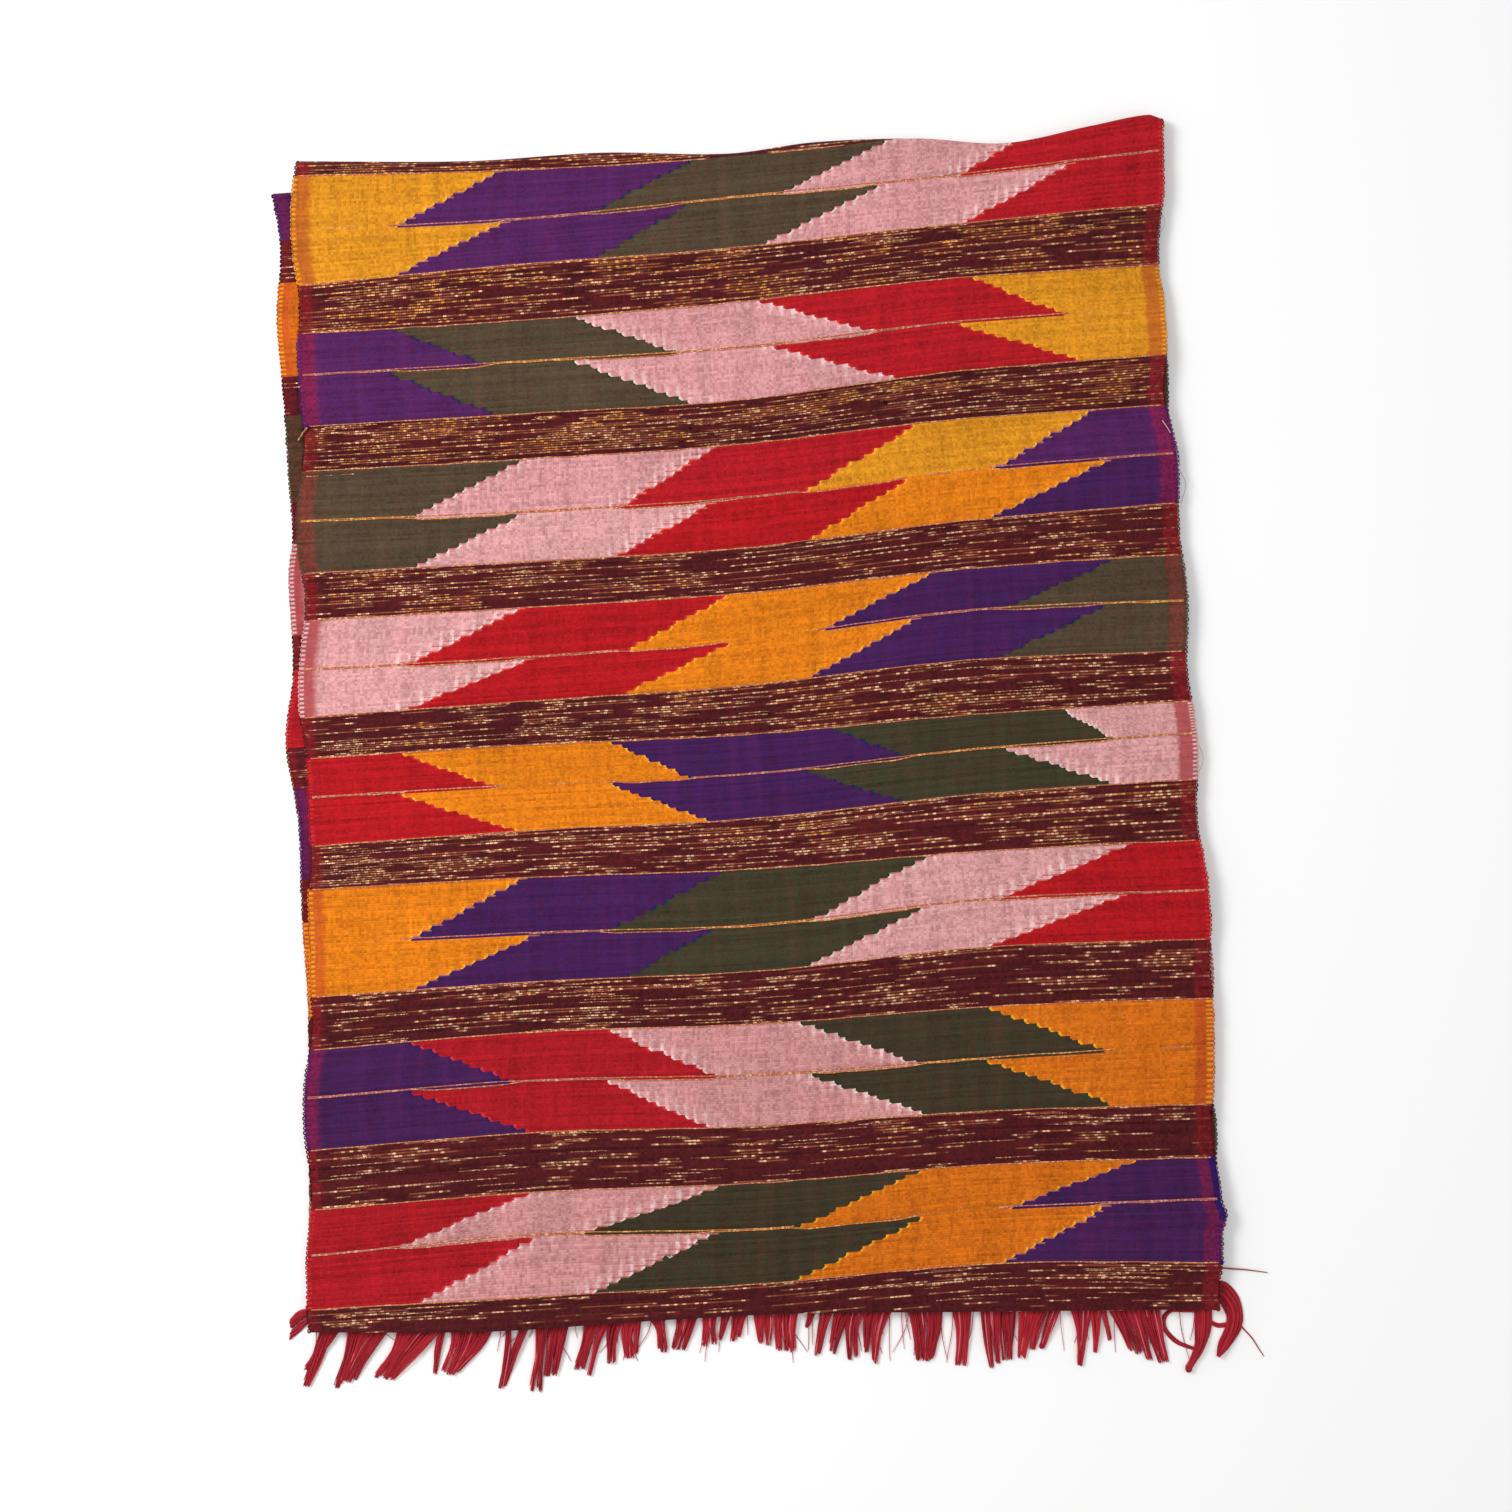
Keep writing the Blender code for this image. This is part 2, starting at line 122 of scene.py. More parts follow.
# Lengthwise creases left by storing the shawl folded, and shorter ones that run with the weft.
LONG_CREASES = (
    # share across, half width as a share, height
    (0.245, 0.014, 0.35), (0.505, 0.016, 0.60), (0.760, 0.014, 0.40),
)
WEFT_CREASES = (
    # row, share from, share to, half width in rows, height
    (1.86, 0.02, 0.33, 0.05, 0.5), (1.80, 0.45, 0.80, 0.04, -0.4), (2.84, 0.10, 0.48, 0.04, 0.5),
    (2.92, 0.60, 0.98, 0.05, 0.5), (3.83, 0.05, 0.42, 0.05, -0.4), (4.85, 0.30, 0.74, 0.04, 0.5),
    (5.80, 0.02, 0.30, 0.05, 0.5), (5.88, 0.55, 0.97, 0.04, -0.4), (6.86, 0.12, 0.55, 0.05, 0.5),
    (7.82, 0.40, 0.95, 0.04, 0.5), (8.80, 0.06, 0.52, 0.05, 0.4), (3.34, 0.62, 0.99, 0.03, 0.3),
)
PINCH = 0.8
EDGE_WAVES = (
    # height, waves in a row, where in the noise
    (0.5, 2.6, 7.0), (0.35, 6.0, 4.0),
)
COCKLE_HEIGHT = 0.32
COCKLE_LENGTH = 24.0
SLACK_AT_EDGE = 1.2
SLACK_SHARE = 0.08

FRONT_ACROSS = 160
FRONT_ALONG = 220
FAR_FOLD_STEPS = 12
NEAR_FOLD_STEPS = 7


def read_off(keys, values, key):
    """Value at a key, straight between the pairs of two rising lists, and past their ends."""
    k = min(max(bisect.bisect_right(keys, key) - 1, 0), len(keys) - 2)
    share = (key - keys[k]) / (keys[k + 1] - keys[k])
    return values[k] + share * (values[k + 1] - values[k])


def smooth_read(keys, values, key):
    """Smooth curve through the pairs of two lists, level with its neighbours at each of them."""
    k = min(max(bisect.bisect_right(keys, key) - 1, 0), len(keys) - 2)
    span = keys[k + 1] - keys[k]
    t = (key - keys[k]) / span

    def slope(n):
        before, after = max(n - 1, 0), min(n + 1, len(keys) - 1)
        return (values[after] - values[before]) / (keys[after] - keys[before])

    rise = values[k + 1] - values[k]
    bend_in, bend_out = slope(k) * span - rise, rise - slope(k + 1) * span
    return values[k] + t * rise + t * (1 - t) * ((1 - t) * bend_in + t * bend_out)


STATIONS = (0.0, 0.25, 0.5, 0.75, 1.0)
WEFT_ROWS = [line[0] for line in WEFT_LINES]
SELVEDGE_XS = ([line[1] for line in WEFT_LINES], [line[7] for line in WEFT_LINES])
FOLD_SHARES, FAR_FOLD_YS, NEAR_FOLD_YS = zip(*FOLD_LINES)


@functools.lru_cache(maxsize=None)
def weft_lines_at(share):
    """Rows of the weft lines and mid lines at a share across, with minus their heights Y."""
    rows, depths = [], []
    for line in WEFT_LINES:
        depth = -smooth_read(STATIONS, line[2:7], share)
        if rows and line[0] - rows[-1] > 0.5:
            middle = smooth_read(STATIONS, MID_LINES[int(line[0])], share) / COLOURED_SHARE
            depths.append(depths[-1] + middle * (depth - depths[-1]))
            rows.append(int(line[0]) + MID_SHARE)
        rows.append(line[0])
        depths.append(depth)
    return rows, depths


def cloth_y(share, row):
    rows, depths = weft_lines_at(share)
    return -read_off(rows, depths, row)


def cloth_row(share, y):
    rows, depths = weft_lines_at(share)
    return read_off(depths, rows, -y)


def selvedge_x(row, side):
    """X of the left (side 0) or right (side 1) selvedge: coloured bands swell and brown ones pinch in."""
    row = min(max(row, WEFT_ROWS[0]), WEFT_ROWS[-1])
    edge = read_off(WEFT_ROWS, SELVEDGE_XS[side], row)
    inside = (row - int(row)) / COLOURED_SHARE
    swell = BAND_SWELL.get(int(row), (0.0, 0.0))[side]
    if inside > 1.0:
        inside = (row - int(row) - COLOURED_SHARE) / (1 - COLOURED_SHARE)
        swell = -PINCH
    edge += (swell if side else -swell) * 4 * inside * (1 - inside)
    if side:
        lump_row, half_length, out = SLACK_LUMP
        edge += out * bump((row - lump_row) / half_length)
    for height, pace, seed in EDGE_WAVES:
        edge += height * noise.noise(Vector((row * pace, seed + side, 0.0)))
    return edge


def cloth_x(share, row):
    left = selvedge_x(row, 0)
    return left + share * (selvedge_x(row, 1) - left)


def far_fold_y(share):
    return smooth_read(FOLD_SHARES, FAR_FOLD_YS, share)


def near_fold_y(share):
    return smooth_read(FOLD_SHARES, NEAR_FOLD_YS, share)


def bump(distance):
    """Rounded rise that is 1 in the middle and 0 from a distance of 1."""
    return 0.5 + 0.5 * math.cos(math.pi * distance) if abs(distance) < 1.0 else 0.0


def cockle(x, y, share):
    """Small uneven waves that hand-woven cloth has, more of them close to its selvedges."""
    slack = 1.0 + SLACK_AT_EDGE * bump(min(share, 1 - share) / SLACK_SHARE)
    broad = noise.noise(Vector((x / COCKLE_LENGTH, y / (1.6 * COCKLE_LENGTH), 1.7)))
    fine = noise.noise(Vector((x / (0.4 * COCKLE_LENGTH), y / (0.6 * COCKLE_LENGTH), 5.1)))
    return COCKLE_HEIGHT * slack * (broad + 0.35 * fine)


def front_rise(share, row, x, y):
    """Height of the swells, creases and small waves above the level of the front panel."""
    rise = cockle(x, y, share)
    for middle, middle_row, half_width, half_length, height in SWELLS:
        rise += height * bump(math.hypot((share - middle) / half_width, (row - middle_row) / half_length))
    for middle, half_width, height in LONG_CREASES:
        wander = 0.004 * noise.noise(Vector((row * 0.9, middle * 9.0, 2.0)))
        rise += height * bump((share - middle - wander) / half_width)
    for crease_row, start, end, half_width, height in WEFT_CREASES:
        if start < share < end:
            wander = 0.03 * noise.noise(Vector((share * 7.0, crease_row, 3.0)))
            fade = math.sin(math.pi * (share - start) / (end - start))
            rise += height * fade * bump((row - crease_row - wander) / half_width)
    return rise


def front_level(share, row, x, y):
    """Height Z of the middle of the front panel's wall, between its two folds."""
    from_far = (far_fold_y(share) - FAR_FOLD_RADIUS - SOLID_WALL / 2 - y) / FOLD_SETTLES
    from_near = (y - near_fold_y(share) - NEAR_FOLD_RADIUS - SOLID_WALL / 2) / FOLD_SETTLES
    ends = max(0.0, min(1.0, from_far, from_near))
    return (FRONT_MIDDLE + FAR_FOLD_PUFF * bump(from_far)
            + front_rise(share, row, x, y) * (1 - bump(ends)))


def on_front(share, row, lift):
    """Point on the top of the front panel, lifted off it, at a share across and a row."""
    x, y = cloth_x(share, row), cloth_y(share, row)
    return (x, y, front_level(share, row, x, y) + SOLID_WALL / 2 + lift)


def round_fold(x, y, z, radius, angle, row, runs=1):
    """Point of a lengthwise line on a fold about (y, z), at an angle up from level. The rows run with
    the angle, or against it where runs is -1."""
    return (x, y + radius * math.cos(angle), z + radius * math.sin(angle), math.cos(angle),
            math.sin(angle), row + runs * radius * (angle - math.pi / 2) / ROW_LENGTH)


def front_column(share):
    """One lengthwise line of the panel: points (x, y, z, normal y, normal z, row) of its middle."""
    far_y = far_fold_y(share) - FAR_FOLD_RADIUS - SOLID_WALL / 2
    near_y = near_fold_y(share) + NEAR_FOLD_RADIUS + SOLID_WALL / 2
    far_row, near_row = cloth_row(share, far_y), cloth_row(share, near_y)
    far_x, near_x = cloth_x(share, far_row), cloth_x(share, near_row)
    points = [
        round_fold(far_x, far_y, SOLID_WALL / 2 + FAR_FOLD_RADIUS, FAR_FOLD_RADIUS,
                   math.pi * (step / FAR_FOLD_STEPS - 0.5), far_row)
        for step in range(FAR_FOLD_STEPS)
    ]
    flat = []
    for step in range(FRONT_ALONG + 1):
        row = far_row + (near_row - far_row) * step / FRONT_ALONG
        x, y = cloth_x(share, row), cloth_y(share, row)
        flat.append((x, y, front_level(share, row, x, y), row))
    for step, (x, y, z, row) in enumerate(flat):
        before, after = flat[max(step - 1, 0)], flat[min(step + 1, FRONT_ALONG)]
        slope = (after[2] - before[2]) / (after[1] - before[1])
        length = math.hypot(1.0, slope)
        points.append((x, y, z, -slope / length, 1.0 / length, row))
    points.extend(
        round_fold(near_x, near_y, FRONT_MIDDLE - NEAR_FOLD_RADIUS, NEAR_FOLD_RADIUS,
                   math.pi * (0.5 + step / NEAR_FOLD_STEPS), near_row)
        for step in range(1, NEAR_FOLD_STEPS + 1)
    )
    flap_y = near_fold_y(share) + NEAR_FLAP - GAP
    points.append((near_x, flap_y, points[-1][2], 0.0, -1.0, points[-1][5] + NEAR_FLAP / ROW_LENGTH))
    return points


def new_object(name, data):
    made = bpy.data.objects.new(name, data)
    bpy.context.scene.collection.objects.link(made)
    return made


def sheet_of(name, columns, outer_by, inner_by, material):
    """Closed thin wall from lengthwise lines of points, with the weave's UV map and one for baking."""
    across, along = len(columns) - 1, len(columns[0]) - 1
    count = (across + 1) * (along + 1)
    vertices, weave = [], []
    for by in (outer_by, -inner_by):
        for i, column in enumerate(columns):
            for x, y, z, normal_y, normal_z, row in column:
                vertices.append((x * MM, (y + normal_y * by) * MM, (z + normal_z * by) * MM))
                weave.append((i / across, row))
    faces, bake = [], []

    def at(place):
        return place[0] * (along + 1) + place[1]

    def add(corners, places):
        faces.append(corners)
        bake.extend(places)

    def rim(start, end, low, high, strip, turned):
        """One face between the two sides, and its place in a thin strip of the map for baking."""
        corners = [at(start), at(end), count + at(end), count + at(start)]
        places = [(low, strip), (high, strip), (high, strip - 0.004), (low, strip - 0.004)]
        if turned:
            corners[1:], places[1:] = corners[:0:-1], places[:0:-1]
        add(corners, places)

    for i in range(across):
        for j in range(along):
            ring = ((i, j), (i, j + 1), (i + 1, j + 1), (i + 1, j))
            add([at(c) for c in ring], [(c[0] / across, 1.0 - 0.9 * c[1] / along) for c in ring])
            ring = ring[::-1]
            add([count + at(c) for c in ring], [(c[0] / across, 0.07 - 0.065 * c[1] / along) for c in ring])
    for j in range(along):
        rim((0, j), (0, j + 1), j / along, (j + 1) / along, 0.078, True)
        rim((across, j), (across, j + 1), j / along, (j + 1) / along, 0.084, False)
    for i in range(across):
        rim((i, 0), (i + 1, 0), i / across, (i + 1) / across, 0.090, False)
        rim((i, along), (i + 1, along), i / across, (i + 1) / across, 0.096, True)
    mesh = bpy.data.meshes.new(name)
    mesh.from_pydata(vertices, [], faces)
    weave_map = mesh.uv_layers.new(name="Weave")
    bake_map = mesh.uv_layers.new(name="OFBake")
    for loop in mesh.loops:
        weave_map.data[loop.index].uv = weave[loop.vertex_index]
        bake_map.data[loop.index].uv = bake[loop.index]
    mesh.uv_layers.active = weave_map
    mesh.shade_smooth()
    mesh.set_sharp_from_angle(angle=math.radians(50))
    mesh.materials.append(material)
    return new_object(name, mesh)


# Chart of the stepped bands. Between five colours there are four joins, and each slants from one
# place at the top of its half band to another at the bottom, in shares of the cloth's width.
JOINS = (
    # row, first join top and bottom, second, third, fourth
    (1.0, 0.230, 0.110, 0.455, 0.335, 0.680, 0.550, 0.870, 0.755),
    (1.5, 0.240, 0.105, 0.450, 0.335, 0.670, 0.530, 0.890, 0.760),
    (2.0, 0.110, 0.225, 0.320, 0.445, 0.535, 0.675, 0.785, 0.890),
    (2.5, 0.105, 0.230, 0.320, 0.460, 0.550, 0.695, 0.765, 0.910),
    (3.0, 0.250, 0.120, 0.470, 0.355, 0.710, 0.565, 0.910, 0.785),
    (3.5, 0.250, 0.120, 0.465, 0.350, 0.690, 0.570, 0.915, 0.775),
    (4.0, 0.240, 0.110, 0.480, 0.360, 0.710, 0.580, 0.920, 0.785),
    (4.5, 0.255, 0.110, 0.480, 0.355, 0.690, 0.565, 0.905, 0.780),
    (5.0, 0.110, 0.215, 0.345, 0.435, 0.595, 0.680, 0.855, 0.910),
    (5.5, 0.105, 0.240, 0.340, 0.455, 0.560, 0.675, 0.785, 0.910),
    (6.0, 0.235, 0.100, 0.460, 0.320, 0.690, 0.550, 0.915, 0.755),
    (6.5, 0.245, 0.105, 0.445, 0.345, 0.680, 0.540, 0.900, 0.745),
    (7.0, 0.110, 0.240, 0.330, 0.465, 0.545, 0.685, 0.755, 0.890),
    (7.5, 0.120, 0.250, 0.335, 0.450, 0.555, 0.690, 0.750, 0.900),
    (8.0, 0.240, 0.090, 0.450, 0.290, 0.670, 0.530, 0.910, 0.760),
    (8.5, 0.245, 0.115, 0.440, 0.305, 0.670, 0.525, 0.870, 0.755),
)
CHART_ROWS = 8.0
YARNS = 5.0
STEPS_PER_HALF = 11
SLIVER = 0.013
LEDGE = 4.0
PICKS_PER_ROW = 64
WARPS = 354
STRIPE_WIDTH = 8.2
# From this row on, the late dyes are used, olive and red have changed places, and the turns of yarn
# at the right selvedge show wider.
LATE_ROWS = 6.5
# Thick turns at the right selvedge: after which row, and down to which place in it.
THICK_TURNS = (7.5, 0.46)
# Where the early lots of dye end, and how many rows longer the olive one lasts.
EARLY_LOTS_END = 3.0 + MID_SHARE
OLIVE_LASTS = 1.6

# Dyes of the yarns as (red, green, blue) on the usual 0 to 255 scale, with how mottled each looks.
# Each colour was dyed in several lots, so it changes a little along the strip.
DYES_EARLY = (
    # marigold, purple, olive, pink, red
    (212, 139, 30, 0.75), (76, 33, 88, 0.60), (76, 65, 49, 0.52), (208, 147, 149, 1.00), (172, 24, 33, 0.45),
)
DYES_MIDDLE = (
    # orange, purple, green, pink, red
    (220, 122, 20, 0.80), (61, 29, 82, 0.60), (58, 57, 40, 0.52), (211, 153, 153, 1.00), (172, 22, 29, 0.45),
)
DYES_LATE = (
    # deep orange, deep purple, green, pink, red
    (206, 106, 20, 0.80), (61, 29, 79, 0.60), (56, 53, 38, 0.52), (200, 140, 139, 1.00), (164, 24, 33, 0.45),
)
TURNING_YARNS = (
    (250, 172, 34), (24, 22, 94), (4, 62, 40), (248, 222, 220), (205, 52, 52),
)
BROWN_YARN = (64, 20, 25)
BROWN_RED_YARN = (92, 28, 30)
WARP_RED = (160, 26, 36)
DULL_GOLD = (162, 88, 62)
# Painted highlights of the gold dashes in the brown bands: a cream glint and a yellow one.
PAINTED_CREAM_GLINT = (250, 202, 156)
PAINTED_YELLOW_GLINT = (236, 158, 56)
LEDGE_YARN = (228, 146, 118)
PINK_LEDGE_YARN = (184, 66, 90)
# Cells across the cloth in which the painted glints of the gold dashes fall.
GLINT_CELLS_ACROSS = 215


def linear(colour):
    """Colour on the 0 to 255 scale, turned into the values that a shader works with."""
    shares = [value / 255.0 for value in colour[:3]]
    return (*(v / 12.92 if v <= 0.04045 else ((v + 0.055) / 1.055) ** 2.4 for v in shares), 1.0)


def new_tree(name, kind, inputs, outputs):
    """Node tree with its sockets, each given as a name and a kind of value."""
    tree = bpy.data.node_groups.new(name, kind)
    for side, sockets in (("INPUT", inputs), ("OUTPUT", outputs)):
        for label, value in sockets.items():
            tree.interface.new_socket(label, in_out=side, socket_type="NodeSocket" + value)
    return tree


def set_inputs(node, values):
    """Set or link a node's inputs: numbers are set, and Values and sockets linked, by name or place."""
    for key, value in values.items():
        value = getattr(value, "socket", value)
        if isinstance(value, bpy.types.NodeSocket):
            node.id_data.links.new(value, node.inputs[key])
        else:
            node.inputs[key].default_value = value


def place_node(tree, kind, values=None, **settings):
    """Add a node with its settings, and set or link its inputs."""
    made = tree.nodes.new(kind)
    for name, value in settings.items():
        setattr(made, name, value)
    set_inputs(made, values or {})
    return made


def result_of(tree, kind, values=None, **settings):
    """Add a node for the sake of its first output."""
    return place_node(tree, kind, values, **settings).outputs[0]


class Value:
    """Number in a shader tree. A sign between two of these, or one and a number, adds a Math node."""

    def __init__(self, socket):
        self.socket = socket

    def __add__(self, other):
        return maths("ADD", self, other)

    def __sub__(self, other):
        return maths("SUBTRACT", self, other)

    def __rsub__(self, other):
        return maths("SUBTRACT", other, self)

    def __mul__(self, other):
        return maths("MULTIPLY", self, other)

    def __truediv__(self, other):
        return maths("DIVIDE", self, other)

    def __mod__(self, other):
        return maths("FLOORED_MODULO", self, other)

    def __pow__(self, other):
        return maths("POWER", self, other)

    def __gt__(self, other):
        return maths("GREATER_THAN", self, other)

    def __lt__(self, other):
        return maths("LESS_THAN", self, other)

    def __abs__(self):
        return maths("ABSOLUTE", self)

    def __floor__(self):
        return maths("FLOOR", self)


def maths(operation, *terms):
    """Result of a Math node, in the tree of the first Value among its terms."""
    tree = next(term.socket.id_data for term in terms if isinstance(term, Value))
    return Value(result_of(tree, "ShaderNodeMath", dict(enumerate(terms)), operation=operation))


def dye_mix(factor, first, second):
    """Colour that goes from the first to the second as the factor goes from 0 to 1."""
    values = {0: factor, 6: first, 7: second}
    return place_node(factor.socket.id_data, "ShaderNodeMix", values, data_type="RGBA").outputs[2]


def fade(value, start, end):
    """0 at the start, 1 at the end and smooth between; the start may be the larger one."""
    values = {0: value, 1: start, 2: end}
    tree = value.socket.id_data
    return Value(result_of(tree, "ShaderNodeMapRange", values, interpolation_type="SMOOTHSTEP"))


def scatter(x, y, z=0.0):
    """Random number from 0 to 1 for each cell of whole numbers."""
    tree = x.socket.id_data
    cell = result_of(tree, "ShaderNodeCombineXYZ", {0: x, 1: y, 2: z})
    return Value(result_of(tree, "ShaderNodeTexWhiteNoise", {"Vector": cell}, noise_dimensions="3D"))


def drift(x, y, detail=1.0):
    """Smooth noise from about 0 to 1 over two values."""
    tree = x.socket.id_data
    place = result_of(tree, "ShaderNodeCombineXYZ", {0: x, 1: y})
    values = {"Vector": place, "Scale": 1.0, "Detail": detail}
    return Value(result_of(tree, "ShaderNodeTexNoise", values, noise_dimensions="2D"))


def stepped_ramp(factor, stops):
    """Table of colours without blending: output colour and alpha of the stop that the factor is in."""
    made = place_node(factor.socket.id_data, "ShaderNodeValToRGB", {0: factor})
    ramp = made.color_ramp
    ramp.interpolation = "CONSTANT"
    while len(ramp.elements) < len(stops):
        ramp.elements.new(0.5)
    for k, stop in enumerate(stops):
        ramp.elements[k].position = k / len(stops)
    for k, stop in enumerate(stops):
        ramp.elements[k].color = stop
    return made.outputs


def woven_group():
    """Shader group of the whole cloth's weave: its chart, yarns, gold and relief, by share and row."""
    tree = new_tree("Half shawl weave", "ShaderNodeTree",
                    {"Across": "Float", "Row": "Float", "Painted gold": "Float"},
                    {"Colour": "Color", "Gold": "Float", "Relief": "Float", "Roughness": "Float"})
    across, row_place, painted = map(Value, tree.nodes.new("NodeGroupInput").outputs[:3])
    row = math.floor(row_place)
    inside = row_place - row
    pick = math.floor(row_place * PICKS_PER_ROW)
    warp = math.floor(across * WARPS)
    brown = inside > COLOURED_SHARE

    # Half band, and place in it from 0 at its top. The upper half's yarns end just past the mid line.
    start_lower = MID_SHARE + SLIVER
    lower = inside > start_lower
    upper_place = inside / start_lower
    lower_place = (inside - start_lower) / (COLOURED_SHARE - start_lower)
    place = (upper_place + lower * (lower_place - upper_place)) * STEPS_PER_HALF
    step = math.floor(place)
    in_step = place - step
    half = ((row - 1.0) % CHART_ROWS) * 2.0 + lower
    chart_place = (half + 0.5) / (2.0 * CHART_ROWS)
    tops_and_ends = []
    for first in (1, 2):
        ramp = stepped_ramp(chart_place, [line[first::2] for line in JOINS])
        parts = place_node(tree, "ShaderNodeSeparateColor", {0: ramp[0]}).outputs
        tops_and_ends.append([Value(socket) for socket in (*parts[:3], ramp[1])])

    # Each join moves by a step every two picks, with the tooth a little rounded and its size uneven.
    tooth = fade(in_step, 0.45, 1.0) * 0.22
    stair = (step + tooth) / STEPS_PER_HALF
    stair_start = step / STEPS_PER_HALF
    at_joins = []
    for k, (join_top, join_end) in enumerate(zip(*tops_and_ends)):
        slant = join_end - join_top
        uneven = scatter(step, half, row + 40.0 * k)
        join = join_top + slant * stair + (uneven - 0.5) * 0.006
        ledge = join_top + slant * stair_start
        on_ledge = (abs(across - ledge) * CLOTH_WIDTH < LEDGE) * (slant < 0.0)
        left_yarn = (row + (k - 1.0)) % YARNS
        floating = on_ledge * (left_yarn % 3.0 < 0.5)

        # The yarn packs closer above and below each tooth, which shows as a bright fan along the warp.
        crossing = (across - join_top) / slant * STEPS_PER_HALF
        column = maths("ROUND", crossing)
        fan = fade(abs(place - crossing), 3.8, 0.2) * fade(abs(crossing - column), 0.30, 0.04)
        fan = fan * (scatter(column, half, row + 40.0 * k) * 0.65 + 0.35)
        at_joins.append((across > join, abs(across - join) * CLOTH_WIDTH, floating, on_ledge, fan))
    passed, near, floats, ledges, fans = (
        functools.reduce(functools.partial(maths, operation), found)
        for operation, found in zip(("ADD", "MINIMUM", "MAXIMUM", "MAXIMUM", "MAXIMUM"), zip(*at_joins))
    )

    # Yarn number: orange, purple, olive, pink, red move along by one each row; from row 7 on, olive
    # and red have changed places.
    yarn = (row - 1.0 + passed) % YARNS
    yarn = yarn + (row > LATE_ROWS) * (yarn > 1.5) * (6.0 - yarn * 2.0)
    yarn_place = (yarn + 0.5) / YARNS
    lots = [stepped_ramp(yarn_place, [(*linear(dye)[:3], dye[3]) for dye in dyes])
            for dyes in (DYES_EARLY, DYES_MIDDLE, DYES_LATE)]
    is_olive = maths("COMPARE", yarn, 2.0, 0.1)
    yarn_colour = dye_mix(row_place > is_olive * OLIVE_LASTS + EARLY_LOTS_END, lots[0][0], lots[1][0])
    yarn_colour = dye_mix(row > LATE_ROWS, yarn_colour, lots[2][0])
    mottle = Value(lots[0][1])
    turning = stepped_ramp(yarn_place, [linear(dye) for dye in TURNING_YARNS])[0]

    # Bright turns of yarn at the teeth, which trail off along the warp, and pale floats on the ledges.
    tip = fade(near, 1.7, 0.6) * (scatter(step, half, passed) > 0.2)
    fluffy = mottle ** 4.0
    trail = fans * (fluffy * 0.54 + 0.04)
    bright = maths("MAXIMUM", tip * (0.85 - fluffy * 0.22), trail)
    yarn_colour = dye_mix(bright, yarn_colour, turning)
    ledge_start = fade(in_step, 0.40, 0.20)
    float_line = floats * ledge_start * (mottle < 0.7)
    yarn_colour = dye_mix(float_line * 0.50, yarn_colour, linear(LEDGE_YARN))
    pink_line = ledges * ledge_start * (mottle > 0.9)
    yarn_colour = dye_mix(pink_line * 0.60, yarn_colour, linear(PINK_LEDGE_YARN))

    # Uneven yarn: every pick, every warp and every crossing has its own shade.
    plain = 1.0 - mottle
    pick_shade = drift(across * 22.0, pick * 7.31)
    warp_shade = drift(warp * 3.17, row_place * 9.0)
    speckle = scatter(warp, pick)
    ribs = (scatter(pick, 7.0) - 0.5) * (plain * 0.24 + 0.18)
    grains = (speckle - 0.5) * (0.50 - plain * 0.28)
    shade = (pick_shade - 0.5) * 0.38 + (ribs + grains) + (warp_shade - 0.5) * 0.28
    streak = drift(across * 70.0, row_place * 0.9)
    worn = drift(across * 7.0, row_place * 1.3, 3.0)
    shade = shade * (1.15 - mottle * 0.42) + (streak - 0.5) * 0.34 + (worn - 0.5) * 0.22
    show_warp = fade(warp_shade * 0.7 + speckle * 0.3, 0.62, 0.30) * (mottle * 0.13)
    show_warp = show_warp + fade(streak, 0.56, 0.74) * 0.02
    yarn_colour = dye_mix(show_warp, yarn_colour, linear(WARP_RED))

    # Red selvedge stripe, where the warp is set closer and shows more. It narrows and softens down the
    # left side, and outside it the turns of the coloured yarn show at the very edge.
    edge = maths("MINIMUM", across, 1.0 - across) * CLOTH_WIDTH
    ragged = scatter(pick, 3.0) * 0.9
    on_right = across > 0.5
    narrowing = (1.0 - on_right) * (maths("MINIMUM", row_place, 8.0) * 0.30) + brown * (2.2 - on_right)
    from_stripe = edge + ragged + narrowing - (STRIPE_WIDTH + 0.4)
    stripe = fade(from_stripe / (2.0 - on_right), 1.1, -0.9)
    turn_width = on_right * (row > LATE_ROWS) * 1.2 + 1.7
    thick = on_right * (row > THICK_TURNS[0]) * (inside < THICK_TURNS[1])
    turns = fade(edge - turn_width, 0.5, -0.3) * (1.0 - brown) * maths("MAXIMUM", pick % 2.0 > 0.5, thick)

    # Brown bands: picks of two browns, with gold thread laid in short thin dashes along them, and painted
    # highlights as bright beads on the dashes.
    in_pick = row_place * PICKS_PER_ROW - pick
    red_pick = scatter(pick, 8.0) * 0.55 + speckle * 0.25
    brown_colour = dye_mix(red_pick, linear(BROWN_YARN), linear(BROWN_RED_YARN))
    cluster = drift(across * 11.0, row_place * 6.0)
    dash = drift(across * 13.0, pick * 5.73) + (cluster - 0.5) * 0.36 + (scatter(pick, 6.0) - 0.5) * 0.28
    dash = dash + (4.6 - maths("MINIMUM", row_place, 9.0)) * 0.022
    dash = fade(dash, 0.512, 0.575) * (brown * painted)
    dash = dash * fade(abs(in_pick - 0.5), 0.40, 0.20) * (1.0 - stripe * 0.65)
